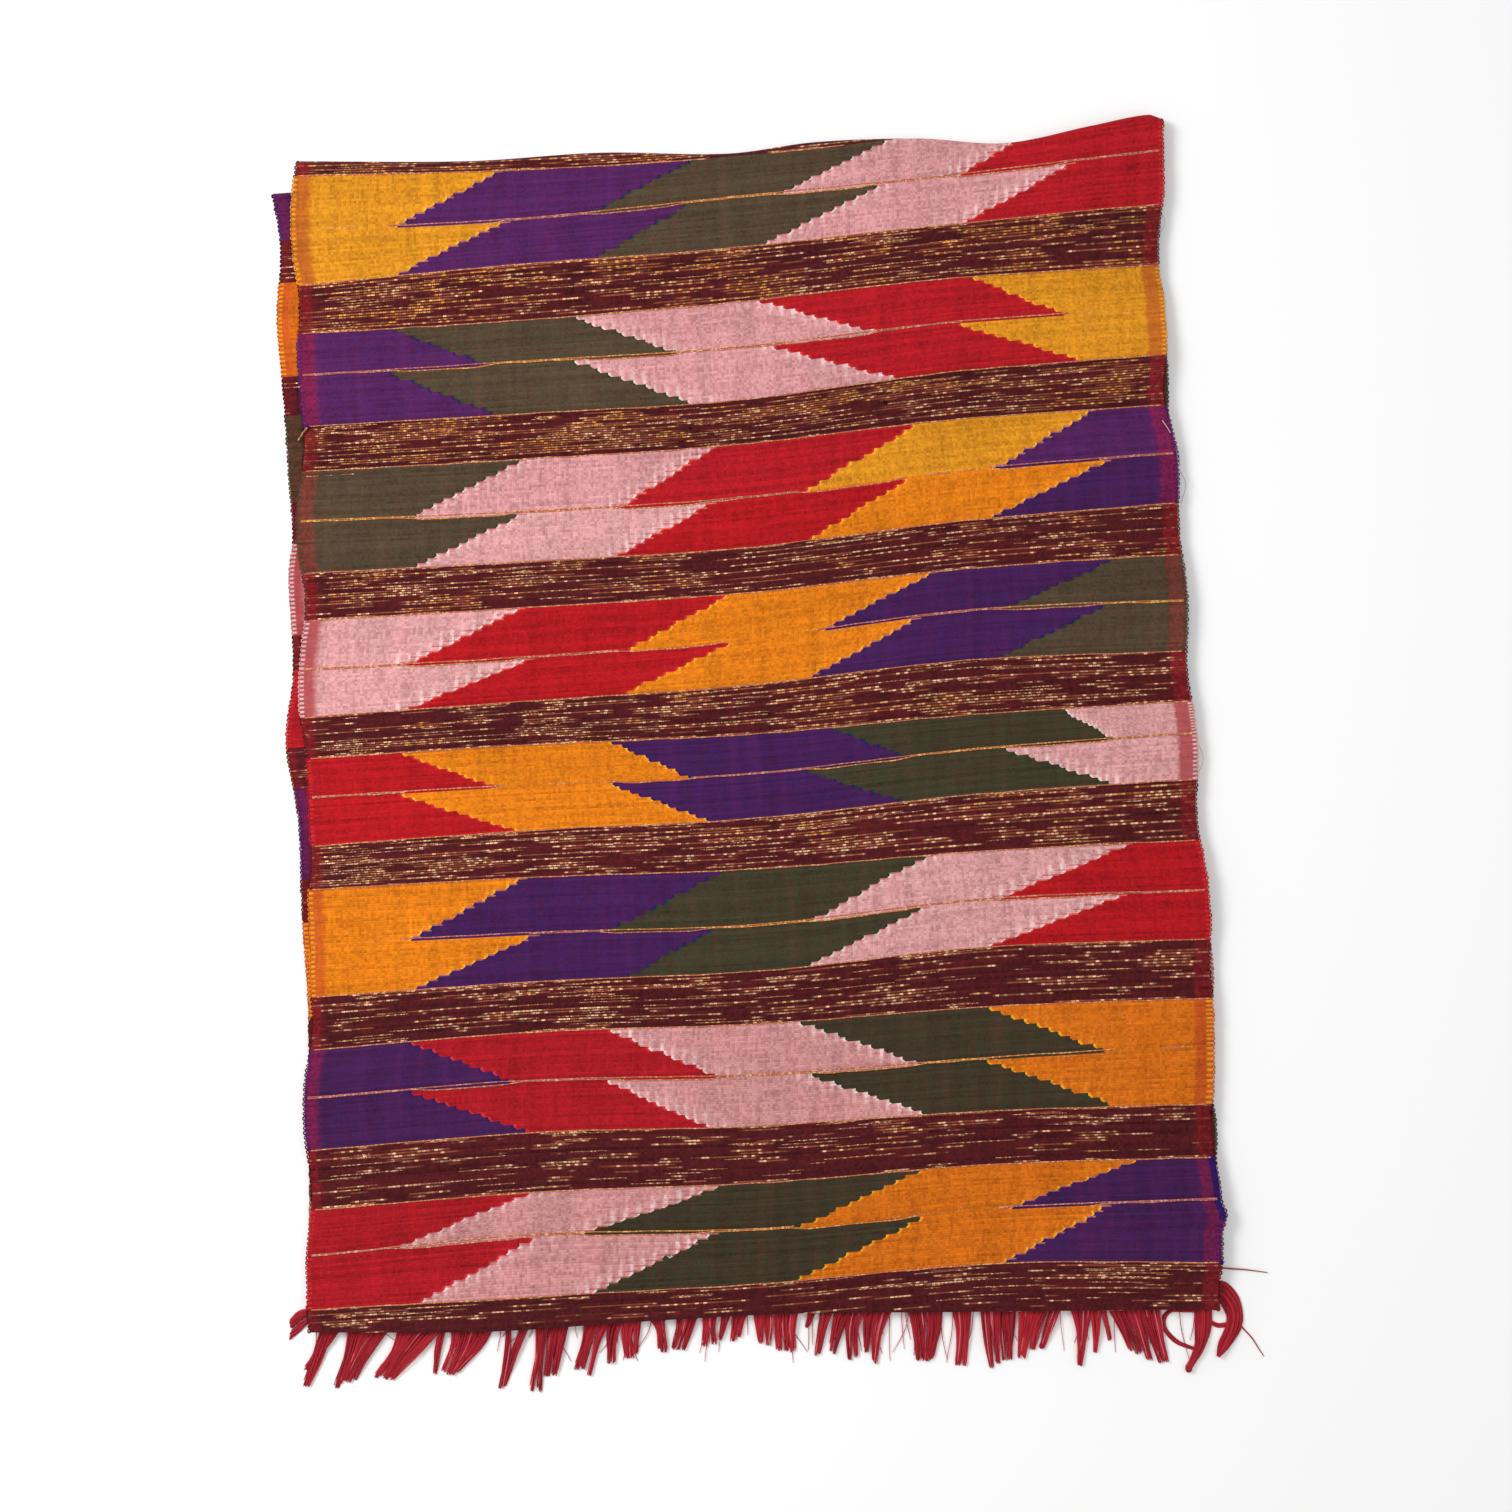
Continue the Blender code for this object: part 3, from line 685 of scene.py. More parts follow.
    # Painted highlights: bright glints of the gold thread, painted as cream or yellow beads along the dashes.
    glint_cell_place = across * GLINT_CELLS_ACROSS + scatter(pick, 2.0) * 9.0
    glint_cell = math.floor(glint_cell_place)
    in_glint_cell = abs(glint_cell_place - glint_cell - 0.5)
    painted_bead_glint = fade(scatter(glint_cell, pick), 0.45, 0.95) * fade(in_glint_cell, 0.54, 0.30)
    yellow_glint_share = cluster * 1.5 + scatter(pick, painted_bead_glint) * 0.5 - row_place * 0.09
    bead_glint_colour = dye_mix(fade(yellow_glint_share, 0.62, 1.02), linear(PAINTED_CREAM_GLINT), linear(PAINTED_YELLOW_GLINT))
    gold_colour = dye_mix(painted_bead_glint, linear(DULL_GOLD), bead_glint_colour)
    brown_colour = dye_mix(dash * (painted_bead_glint * 0.33 + 0.62), brown_colour, gold_colour)
    colour = dye_mix(brown, yarn_colour, brown_colour)
    over_yarn = mottle ** 2.0 * 0.56 + 0.12 - (row_place - 2.0) * 0.035 * plain
    over_brown = 0.34 - row_place * 0.014
    strength = over_yarn + brown * (over_brown - over_yarn) + speckle * 0.16 - on_right * 0.04
    colour = dye_mix(stripe * strength, colour, linear(WARP_RED))
    colour = dye_mix(turns * (thick * 0.35 + 0.50), colour, turning)
    colour = result_of(tree, "ShaderNodeVectorMath", {0: colour, "Scale": shade + 1.0}, operation="SCALE")

    # Relief: the beaten picks lie over the warps like small grains, and gold lies on top.
    over_pick = abs(maths("SINE", row_place * (PICKS_PER_ROW * math.pi)))
    over_warp = abs(maths("SINE", across * (WARPS * math.pi)))
    relief = over_pick * (over_warp * 0.45 + 0.55) * (speckle * 0.45 + 0.55) + dash * 0.8
    set_inputs(tree.nodes.new("NodeGroupOutput"), {
        "Colour": colour, "Gold": dash * 0.45, "Relief": relief, "Roughness": 0.92 - dash * 0.45,
    })
    return tree


WOVEN = woven_group()


def attribute(tree, name):
    """Number that every point of the mesh carries under a name."""
    return Value(place_node(tree, "ShaderNodeAttribute", attribute_name=name).outputs["Fac"])


def raised(tree, height, strength, depth):
    """Normal of a surface with a fine relief, whose depth is in millimetres."""
    values = {"Height": height, "Strength": strength, "Distance": depth * MM}
    return result_of(tree, "ShaderNodeBump", values)


def new_material(name):
    """Material with its node tree and its Principled shader."""
    material = bpy.data.materials.new(name)
    material.use_nodes = True
    return material, material.node_tree, material.node_tree.nodes["Principled BSDF"]


def cloth_material(name, painted_gold=1.0, relief_depth=0.22, by_attributes=False):
    """Woven cotton that reads its place in the strip from the UV map, or from two attributes."""
    material, tree, shader = new_material(name)
    if by_attributes:
        across, row = attribute(tree, "weave_across"), attribute(tree, "weave_row")
    else:
        places = result_of(tree, "ShaderNodeUVMap", uv_map="Weave")
        across, row = place_node(tree, "ShaderNodeSeparateXYZ", {0: places}).outputs[:2]
    places = {"Across": across, "Row": row, "Painted gold": painted_gold}
    weave = place_node(tree, "ShaderNodeGroup", places, node_tree=WOVEN).outputs
    set_inputs(shader, {
        "Base Color": weave["Colour"], "Metallic": weave["Gold"], "Roughness": weave["Roughness"],
        "Normal": raised(tree, weave["Relief"], 1.0, relief_depth),
        "Specular IOR Level": 0.08, "Sheen Weight": 0.03, "Sheen Roughness": 0.5,
    })
    return material


front_columns = [front_column(i / FRONT_ACROSS) for i in range(FRONT_ACROSS + 1)]
front_cloth = sheet_of("front_cloth_panel", front_columns, SOLID_WALL / 2, WALL - SOLID_WALL / 2,
                       cloth_material("Front cloth"))
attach(front_cloth, "root")
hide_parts("front_panel")


# Gold threads of the front panel
# A pair of copper-gold metallic threads is laid in with the weft along the middle of each coloured
# band, and parts where a join starts again. One more lies along each side of each brown band, and
# in the brown bands such thread comes up in dashes.
LINE_RADIUS = 0.38
DASH_RADIUS = 0.28
THREAD_STEPS = 200
DASH_STEP = 3.6
LINE_MARGIN = 0.004
LINE_LIFT = 0.10
PAIR_LIFT = 0.16
PAIR_SPACING = 0.008
# How far lines and dashes stay from the near fold and from the far one.
LINE_CLEARANCE = (1.0, 3.5)
DASH_CLEARANCE = (1.5, 4.0)
BROWN_PICKS = 19
DASH_END = 0.975
DASH_LIFT = 0.02
DASH_STEPS = (2, 3, 4, 5, 7, 9)
DASH_GAPS = (4.0, 90.0)
STRAY_DASHES = (
    # row, share from, share to: a few that came up in the olive at the left of row 3
    (3.036, 0.004, 0.020), (3.036, 0.028, 0.035), (3.035, 0.045, 0.061),
)

# Own colour and painted highlight colour of the pinkish thread, and then of the golden one.
LINE_GOLD = ((172, 88, 84), (226, 158, 150), (190, 112, 54), (244, 196, 112))
DASH_GOLD = ((134, 68, 50), (244, 200, 168), (150, 82, 40), (255, 206, 112))

# By yarn that the pair crosses: how golden it looks rather than pink, and how deep it sinks in.
PAIR_OVER_YARNS = ((0.90, 0.45), (0.10, 0.0), (1.00, 0.0), (0.65, 0.07), (0.35, 0.05))


def point_value(tree, name):
    values = {"Name": name}
    return result_of(tree, "GeometryNodeInputNamedAttribute", values, data_type="FLOAT")


def dyed_result(tree, geometry, yarn):
    """End of a Geometry Nodes tree: instances made real, and the yarn's material."""
    whole = result_of(tree, "GeometryNodeRealizeInstances", {0: geometry})
    dyed = result_of(tree, "GeometryNodeSetMaterial", {0: whole, 2: yarn})
    set_inputs(tree.nodes.new("NodeGroupOutput"), {0: dyed})


def thread_tree():
    """Geometry Nodes tree that spins lines of points into round thread of their own thickness."""
    tree = new_tree("Spun thread", "GeometryNodeTree",
                    {"Geometry": "Geometry", "Radius": "Float", "Sides": "Int", "Yarn": "Material"},
                    {"Geometry": "Geometry"})
    given = tree.nodes.new("NodeGroupInput").outputs
    line = result_of(tree, "GeometryNodeMeshToCurve", {0: given["Geometry"]})
    ring = result_of(tree, "GeometryNodeCurvePrimitiveCircle",
                     {"Resolution": given["Sides"], "Radius": given["Radius"]})
    spun = result_of(tree, "GeometryNodeCurveToMesh",
                     {0: line, 1: ring, "Scale": point_value(tree, "thickness"), "Fill Caps": True})
    dyed_result(tree, result_of(tree, "GeometryNodeSetShadeSmooth", {0: spun}), given["Yarn"])
    return tree


THREAD_TREE = thread_tree()


def grow(name, points, edges, tree, values):
    """Plain mesh that a Geometry Nodes tree makes of points, each a place and its own attributes."""
    mesh = bpy.data.meshes.new(name + "_points")
    mesh.from_pydata([tuple(value * MM for value in place) for place, own in points], edges, [])
    for label in points[0][1]:
        numbers = mesh.attributes.new(label, "FLOAT", "POINT").data
        numbers.foreach_set("value", [own[label] for place, own in points])
    holder = new_object(name + "_points", mesh)
    modifier = holder.modifiers.new("Yarn", "NODES")
    modifier.node_group = tree
    for socket in tree.interface.items_tree:
        if socket.name in values:
            modifier[socket.identifier] = values[socket.name]
    bpy.context.view_layer.update()
    depsgraph = bpy.context.evaluated_depsgraph_get()
    made = bpy.data.meshes.new_from_object(holder.evaluated_get(depsgraph), depsgraph=depsgraph)
    holder.modifiers.clear()
    bpy.data.objects.remove(holder)
    made.name = name
    return new_object(name, made)


def spin(name, lines, radius, sides, material):
    """Thread along each line. A line is a list of (point, values), values being its attributes."""
    points, edges = [], []
    for line in lines:
        first = len(points)
        points.extend(line)
        edges.extend((first + k, first + k + 1) for k in range(len(line) - 1))
    return grow(name, points, edges, THREAD_TREE, {"Radius": radius * MM, "Sides": sides, "Yarn": material})


def object_noise(tree, scale, detail=1.0):
    """Smooth noise from about 0 to 1 through the piece itself."""
    place = place_node(tree, "ShaderNodeTexCoord").outputs["Object"]
    return Value(result_of(tree, "ShaderNodeTexNoise", {"Vector": place, "Scale": scale, "Detail": detail}))


def gold_material(name, pink_dull, pink_glint, gold_dull, gold_glint):
    """Metallic thread: a flat strip wound on a core, pinkish or golden, with painted highlights as glinting
    beads.
    """
    material, tree, shader = new_material(name)
    grain, patch = object_noise(tree, 900.0), object_noise(tree, 60.0)
    # Painted highlights: bright beads and broad patches of glint mixed into the colour.
    painted_glint = fade(grain, 0.50, 0.66) + patch * 0.4 - 0.20
    warm = attribute(tree, "warm")
    dull = dye_mix(warm, linear(pink_dull), linear(gold_dull))
    bright = dye_mix(warm, linear(pink_glint), linear(gold_glint))
    set_inputs(shader, {
        "Base Color": dye_mix(painted_glint, dull, bright), "Normal": raised(tree, grain, 0.6, 0.2),
        "Metallic": 0.25, "Roughness": 0.45,
    })
    return material


def yarn_at(share, number, half):
    """Number of the yarn on one side of a coloured band's mid line: 0 orange to 4 red."""
    line = next(line for line in JOINS if line[0] == number + half)
    passed = sum(share > place for place in (line[1::2] if half else line[2::2]))
    yarn = (number - 1 + passed) % 5
    return 6 - yarn if number > LATE_ROWS and yarn > 1 else yarn


def parted(share, number):
    """How far the pair has parted, from 0 to 1: fully where a join starts again at the mid line."""
    upper, lower = (next(line for line in JOINS if line[0] == number + half) for half in (0.0, 0.5))
    opening = 0.0
    for k in range(4):
        start, end = sorted((upper[2 + 2 * k], lower[1 + 2 * k]))
        if start < share < end:
            opening = max(opening, min(1.0, (share - start) / 0.02, (end - share) / 0.02))
    return opening


def laid_line(number, part, lift, pair_side):
    """Lines of points along one weft line, as far as it lies between the two folds."""
    lines, line = [], []
    for step in range(THREAD_STEPS + 1):
        share = LINE_MARGIN + (1 - 2 * LINE_MARGIN) * step / THREAD_STEPS
        wave = noise.noise(Vector((share * 34.0, number * 3.0 + part, pair_side * 5.0)))
        slow = noise.noise(Vector((share * 7.0, number * 5.0 + part, 4.0 + pair_side)))
        row = number + part + 0.004 * wave + pair_side * PAIR_SPACING / 2
        warm, sunk = 0.6, 0.0
        if pair_side:
            warm, sunk = PAIR_OVER_YARNS[yarn_at(share, number, 0.5 if pair_side > 0 else 0.0)]
        if pair_side > 0:
            row += SLIVER * parted(share, number)
        y = cloth_y(share, row)
        if near_fold_y(share) + LINE_CLEARANCE[0] < y < far_fold_y(share) - LINE_CLEARANCE[1]:
            point = on_front(share, row, lift - sunk - 0.25 * max(0.0, slow))
            line.append((point, {"thickness": 0.85 + 0.35 * wave, "warm": warm}))
        elif line:
            lines.append(line)
            line = []
    return lines + [line] if len(line) > 1 else lines


LAID_IN_A_ROW = (
    # place in the row, lift, side of a pair
    (0.0, LINE_LIFT, 0), (MID_SHARE, PAIR_LIFT, -1),
    (MID_SHARE, PAIR_LIFT, 1), (COLOURED_SHARE, LINE_LIFT, 0),
)
laid_lines = [
    line for number in range(1, 9) for place in LAID_IN_A_ROW for line in laid_line(number, *place)
]
gold_lines = spin("front_gold_lines", laid_lines, LINE_RADIUS, 5,
                  gold_material("Copper gold thread", *LINE_GOLD))

random.seed(7)
dash_lines = []
for band in range(0, 9):
    for pick_number in range(BROWN_PICKS):
        pick_row = band + COLOURED_SHARE + (1 - COLOURED_SHARE) * (pick_number + 0.7) / BROWN_PICKS
        share = 0.02 + 0.03 * random.random()
        while share < DASH_END:
            steps = random.choice(DASH_STEPS)
            length = DASH_STEP * steps / CLOTH_WIDTH
            crowd = 0.62 - 0.025 * band + 0.8 * noise.noise(Vector((share * 6.0, pick_row * 4.0, 9.0)))
            low, high = near_fold_y(share) + DASH_CLEARANCE[0], far_fold_y(share) - DASH_CLEARANCE[1]
            inside = low < cloth_y(share, pick_row) < high
            if inside and random.random() < crowd and share + length < DASH_END:
                line = []
                warm = random.uniform(0.4, 1.0) if band < 3 else random.uniform(0.0, 0.7)
                for step in range(steps + 1):
                    row = pick_row + 0.003 * noise.noise(Vector((share * 40 + step, pick_number, band)))
                    point = on_front(share + length * step / steps, row, DASH_LIFT)
                    thickness = random.uniform(0.7, 1.2) if 0 < step < steps else 0.5
                    line.append((point, {"thickness": thickness, "warm": warm}))
                dash_lines.append(line)
            share += length + random.uniform(*DASH_GAPS) / CLOTH_WIDTH
for row, start, end in STRAY_DASHES:
    places = [on_front(start + (end - start) * step / 6, row, DASH_LIFT) for step in range(7)]
    dash_lines.append([(place, {"thickness": 0.8 + 0.3 * (step % 2), "warm": 0.5})
                       for step, place in enumerate(places)])
gold_dashes = spin("front_gold_dashes", dash_lines, DASH_RADIUS, 4,
                   gold_material("Gold thread", *DASH_GOLD))
for piece in (gold_lines, gold_dashes):
    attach(piece, "root")


# Knots and loose ends of the front panel
# Small knots where a weft yarn was joined, and the ends that were left uncut beside them: one of
# indigo at the left selvedge with a gold end, two dark ones, a frayed pale end and a few hairs.
KNOTS = (
    # x, y, radius, shade from 0 indigo over 0.5 black to 1 pale
    (-205.8, 144.6, 1.25, 0.0), (-26.9, 144.2, 0.75, 0.5), (64.4, 156.7, 0.85, 0.5),
    (209.8, -171.8, 0.8, 0.5), (-211.0, 202.0, 0.6, 0.5), (213.0, -238.2, 0.9, 0.0),
)
LOOSE_ENDS = (
    # thickness, shade, points x, y, height off the surface
    (0.7, 1.0, ((-36.2, -235.2, 6.3), (-34.6, -236.1, 6.6), (-33.2, -235.6, 6.4))),
    (0.6, 1.0, ((-35.4, -237.0, 6.3), (-34.4, -235.9, 6.5), (-33.6, -234.6, 6.4))),
    (0.35, 0.8, ((194.5, 250.0, 4.5), (197.6, 244.8, 4.0), (194.8, 237.9, 4.5))),
    (0.35, 0.6, ((197.5, 141.4, 4.5), (201.4, 134.7, 4.0), (202.0, 127.0, 4.3))),
    (0.35, 0.7, ((201.0, 126.0, 4.2), (204.8, 118.4, 3.6), (202.5, 108.9, 4.2))),
    (0.5, 1.0, ((193.8, 147.6, 6.9), (196.0, 144.4, 6.9), (197.6, 141.8, 6.4))),
    (0.35, 0.8, ((207.0, -2.0, 4.5), (210.2, -10.9, 3.4), (207.0, -19.0, 4.2))),
)
KNOT_YARN = 0.34
KNOT_POINTS = 36
GOLD_END = (
    # point, thickness, how golden
    ((-205.6, 144.2, 6.9), 1.0, 1.0), ((-207.8, 141.6, 6.2), 1.1, 1.0), ((-210.2, 138.4, 5.2), 0.8, 0.9),
)
GOLD_END_RADIUS = 0.42
INDIGO = (22, 30, 112)
NEAR_BLACK = (24, 15, 18)
PALE_YARN = (214, 196, 190)


def knot_material():
    material, tree, shader = new_material("Knotted yarn")
    shade = attribute(tree, "shade")
    colour = dye_mix(fade(shade, 0.0, 0.5), linear(INDIGO), linear(NEAR_BLACK))
    colour = dye_mix(fade(shade, 0.5, 1.0), colour, linear(PALE_YARN))
    set_inputs(shader, {"Base Color": colour, "Roughness": 0.85, "Specular IOR Level": 0.1})
    return material


def share_at(x, y):
    """Share across the front panel at a place on it."""
    row = cloth_row(0.5, y)
    for step in range(3):
        left, right = selvedge_x(row, 0), selvedge_x(row, 1)
        share = min(max((x - left) / (right - left), 0.0), 1.0)
        row = cloth_row(share, y)
    return share


knot_lines = []
for x, y, radius, shade in KNOTS:
    share = share_at(x, y)
    top = on_front(share, cloth_row(share, y), 0.35 * radius)[2]
    line = []
    for step in range(KNOT_POINTS):
        turn, height = 2.1 * step, math.pi * (step + 1) / (KNOT_POINTS + 1)
        ring = radius * math.sin(height)
        point = (x + ring * math.cos(turn), y + ring * math.sin(turn), top + 0.6 * radius * math.cos(height))
        line.append((point, {"thickness": 1.0, "shade": shade}))
    knot_lines.append(line)
for thickness, shade, points in LOOSE_ENDS:
    line = []
    for step in range(9):
        point = [smooth_read((0, 1, 2), [place[k] for place in points], step / 4) for k in range(3)]
        line.append((point, {"thickness": thickness, "shade": shade}))
    knot_lines.append(line)
knots = spin("front_knots", knot_lines, KNOT_YARN, 5, knot_material())
end_line = [(point, {"thickness": thickness, "warm": warm}) for point, thickness, warm in GOLD_END]
gold_end = spin("front_gold_end", [end_line], GOLD_END_RADIUS, 5, gold_dashes.data.materials[0])
for piece in (knots, gold_end):
    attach(piece, "root")


# Selvedges of the front panel
# Every second pick turns round the outermost warp on its way back, which leaves a small loop of its
# own yarn along both sides of the cloth.
LOOP_PITCH = 2.15
LOOP_RADIUS = 0.72
LOOP_YARN = 0.33
LOWEST_LOOP = 0.72
LOOP_HALF_SWEEP = math.radians(115)
UNEVEN_LEVEL = 0.15
UNEVEN_TILT = 0.3


def loop_tree():
    """Geometry Nodes tree that sets a small half ring of yarn on each point, turned outwards."""
    tree = new_tree("Selvedge loops", "GeometryNodeTree",
                    {"Geometry": "Geometry", "Loop radius": "Float", "Yarn radius": "Float",
                     "Yarn": "Material"}, {"Geometry": "Geometry"})
    given = tree.nodes.new("NodeGroupInput").outputs
    arc = result_of(tree, "GeometryNodeCurveArc", {
        "Resolution": 7, "Radius": given["Loop radius"],
        "Start Angle": -LOOP_HALF_SWEEP, "Sweep Angle": 2 * LOOP_HALF_SWEEP,
    })
    ring = result_of(tree, "GeometryNodeCurvePrimitiveCircle",
                     {"Resolution": 5, "Radius": given["Yarn radius"]})
    loop = result_of(tree, "GeometryNodeCurveToMesh", {0: arc, 1: ring, "Fill Caps": True})
    facing = {1: point_value(tree, "tilt"), 2: point_value(tree, "turn")}
    loops = result_of(tree, "GeometryNodeInstanceOnPoints", {
        "Points": given["Geometry"], "Instance": result_of(tree, "GeometryNodeSetShadeSmooth", {0: loop}),
        "Rotation": result_of(tree, "ShaderNodeCombineXYZ", facing), "Scale": point_value(tree, "thickness"),
    })
    dyed_result(tree, loops, given["Yarn"])
    return tree


LOOP_TREE = loop_tree()


def loops_along(column, side):
    """Places of the loops along one selvedge, given the lengthwise line of points at that side."""
    places = []
    travelled, next_loop = 0.0, LOOP_PITCH / 2
    for before, after in zip(column, column[1:]):
        length = math.dist(before[:3], after[:3])
        while travelled + length >= next_loop:
            part = (next_loop - travelled) / length
            x, y, z, normal_y, normal_z, row = (a + part * (b - a) for a, b in zip(before, after))
            places.append(((x, y, max(z + random.uniform(-UNEVEN_LEVEL, UNEVEN_LEVEL), LOWEST_LOOP)), {
                "weave_across": 0.97 if side else 0.03, "weave_row": row,
                "turn": 0.0 if side else math.pi, "tilt": random.uniform(-UNEVEN_TILT, UNEVEN_TILT),
                "thickness": random.uniform(0.8, 1.2),
            }))
            next_loop += LOOP_PITCH
        travelled += length
    return places


def selvedge_loops(name, columns):
    """Loops along both selvedges of a panel, given its lengthwise lines of points."""
    return grow(name, loops_along(columns[0], 0) + loops_along(columns[-1], 1), [], LOOP_TREE, {
        "Loop radius": LOOP_RADIUS * MM, "Yarn radius": LOOP_YARN * MM, "Yarn": loop_material,
    })


loop_material = cloth_material("Selvedge yarn", 0.0, 0.1, by_attributes=True)
front_loops = selvedge_loops("front_selvedge_loops", front_columns)
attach(front_loops, "root")


# Hidden layers
# The second and third quarters of the strip lie between the front and back panels, joined by the
# inner fold at the far end. Only their left selvedge and the left corner of their fold show.
HIDDEN_LEFT = (
    # y, x of the left selvedge
    (-265, -196.5), (-190, -197.0), (-128, -199.0), (-83, -203.0), (-39, -205.7), (-3, -212.3),
    (28, -209.6), (75, -212.8), (92, -211.2), (121, -214.0), (160, -217.2), (197, -221.2),
    (232, -220.2), (258, -225.0),
)
HIDDEN_FAR_LEFT_Y = 258.6
HIDDEN_RISE = 30.0
HIDDEN_RIGHT_INSET = 1.2
UPPER_MIDDLE = 3.6
LOWER_MIDDLE = 2.1

# The rows of the second quarter count on from the near fold: where each starts at its left edge.
SECOND_QUARTER_ROWS = (
    # row, y
    (9, -254), (10, -192), (11, -130), (12, -67), (13, -6),
    (14, 46), (15, 109), (16, 169), (17, 235), (18, 294),
)
HIDDEN_ACROSS = 56
HIDDEN_ALONG = 90
INNER_FOLD_STEPS = 8
HIDDEN_YS, HIDDEN_XS = zip(*HIDDEN_LEFT)
SECOND_ROWS, SECOND_YS = zip(*SECOND_QUARTER_ROWS)


def hidden_column(share):
    """One lengthwise line through both hidden layers, from the near fold round the inner fold."""
    near_y = near_fold_y(share) + NEAR_FLAP
    radius = (UPPER_MIDDLE - LOWER_MIDDLE) / 2
    far_y = HIDDEN_FAR_LEFT_Y + HIDDEN_RISE * share - radius - WALL / 2

    def x_at(y):
        left = smooth_read(HIDDEN_YS, HIDDEN_XS, y)
        return left + share * (selvedge_x(cloth_row(1.0, y), 1) - HIDDEN_RIGHT_INSET - left)

    def upper_row(y):
        return read_off(SECOND_YS, SECOND_ROWS, y - HIDDEN_RISE * share)

    points = []
    for step in range(HIDDEN_ALONG + 1):
        y = near_y + (far_y - near_y) * step / HIDDEN_ALONG
        points.append((x_at(y), y, UPPER_MIDDLE, 0.0, 1.0, upper_row(y)))
    fold_row = upper_row(far_y)
    for step in range(1, INNER_FOLD_STEPS):
        angle = math.pi * (0.5 - step / INNER_FOLD_STEPS)
        points.append(round_fold(x_at(far_y), far_y, LOWER_MIDDLE + radius, radius, angle, fold_row, -1))
    for step in range(HIDDEN_ALONG + 1):
        y = far_y + (near_y - far_y) * step / HIDDEN_ALONG
        points.append((x_at(y), y, LOWER_MIDDLE, 0.0, -1.0, fold_row + (far_y - y) / ROW_LENGTH))
    return points


# The line runs from near to far, so the sheet is made from its mirror order to face outwards.
hidden_columns = [hidden_column(i / HIDDEN_ACROSS)[::-1] for i in range(HIDDEN_ACROSS + 1)]
hidden_cloth = sheet_of("hidden_cloth_layers", hidden_columns, WALL / 2, WALL / 2,
                        cloth_material("Hidden cloth"))
hidden_loops = selvedge_loops("hidden_selvedge_loops", hidden_columns)
for piece in (hidden_cloth, hidden_loops):
    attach(piece, "root")
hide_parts("hidden_layers")


# Back panel
# The last quarter of the strip lies on the surface, flat and face down, joined to the front panel by
# the outer fold. Its cut end is at the near end, under all the other layers.
BACK_EDGES = (
    # y, left x, right x
    (-270, -195.8, 210.0), (-205, -197.4, 210.4), (-190, -197.8, 212.4), (-172, -198.3, 212.0),
    (-158, -198.7, 209.2), (-132, -199.5, 209.8), (-115, -199.9, 212.5), (-98, -200.5, 212.0),
    (-82, -201.5, 208.0), (0, -207.0, 203.0), (70, -209.0, 199.6), (92, -209.6, 199.0),
    (112, -210.6, 199.0), (132, -211.5, 199.4), (155, -212.5, 197.4), (178, -213.6, 197.4),
    (200, -214.5, 192.8), (225, -214.3, 192.6), (292, -214.0, 196.8),
)
BACK_ACROSS = 100
BACK_ALONG = 130
JOIN_SHARE = 0.06
BACK_YS, BACK_LEFTS, BACK_RIGHTS = zip(*BACK_EDGES)


def back_column(share):
    """One lengthwise line of the back panel, from the outer fold to its hem."""
    fold_x, fold_y, fold_z, normal_y, normal_z, fold_row = front_column(share)[0]
    near_y = near_fold_y(share) + NEAR_FLAP
    points = []
    for step in range(BACK_ALONG + 1):
        part = step / BACK_ALONG
        y = fold_y + (near_y - fold_y) * part
        left = smooth_read(BACK_YS, BACK_LEFTS, y)
        x = left + share * (smooth_read(BACK_YS, BACK_RIGHTS, y) - left)
        x += bump(part / JOIN_SHARE) * (fold_x - x)
        points.append((x, y, WALL / 2, 0.0, -1.0, fold_row - (fold_y - y) / ROW_LENGTH))
    return points


back_columns = [back_column(i / BACK_ACROSS)[::-1] for i in range(BACK_ACROSS + 1)]
back_cloth = sheet_of("back_cloth_panel", back_columns, WALL / 2, WALL / 2, cloth_material("Back cloth"))
back_loops = selvedge_loops("back_selvedge_loops", back_columns)
for piece in (back_cloth, back_loops):
    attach(piece, "root")
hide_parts("back_panel")


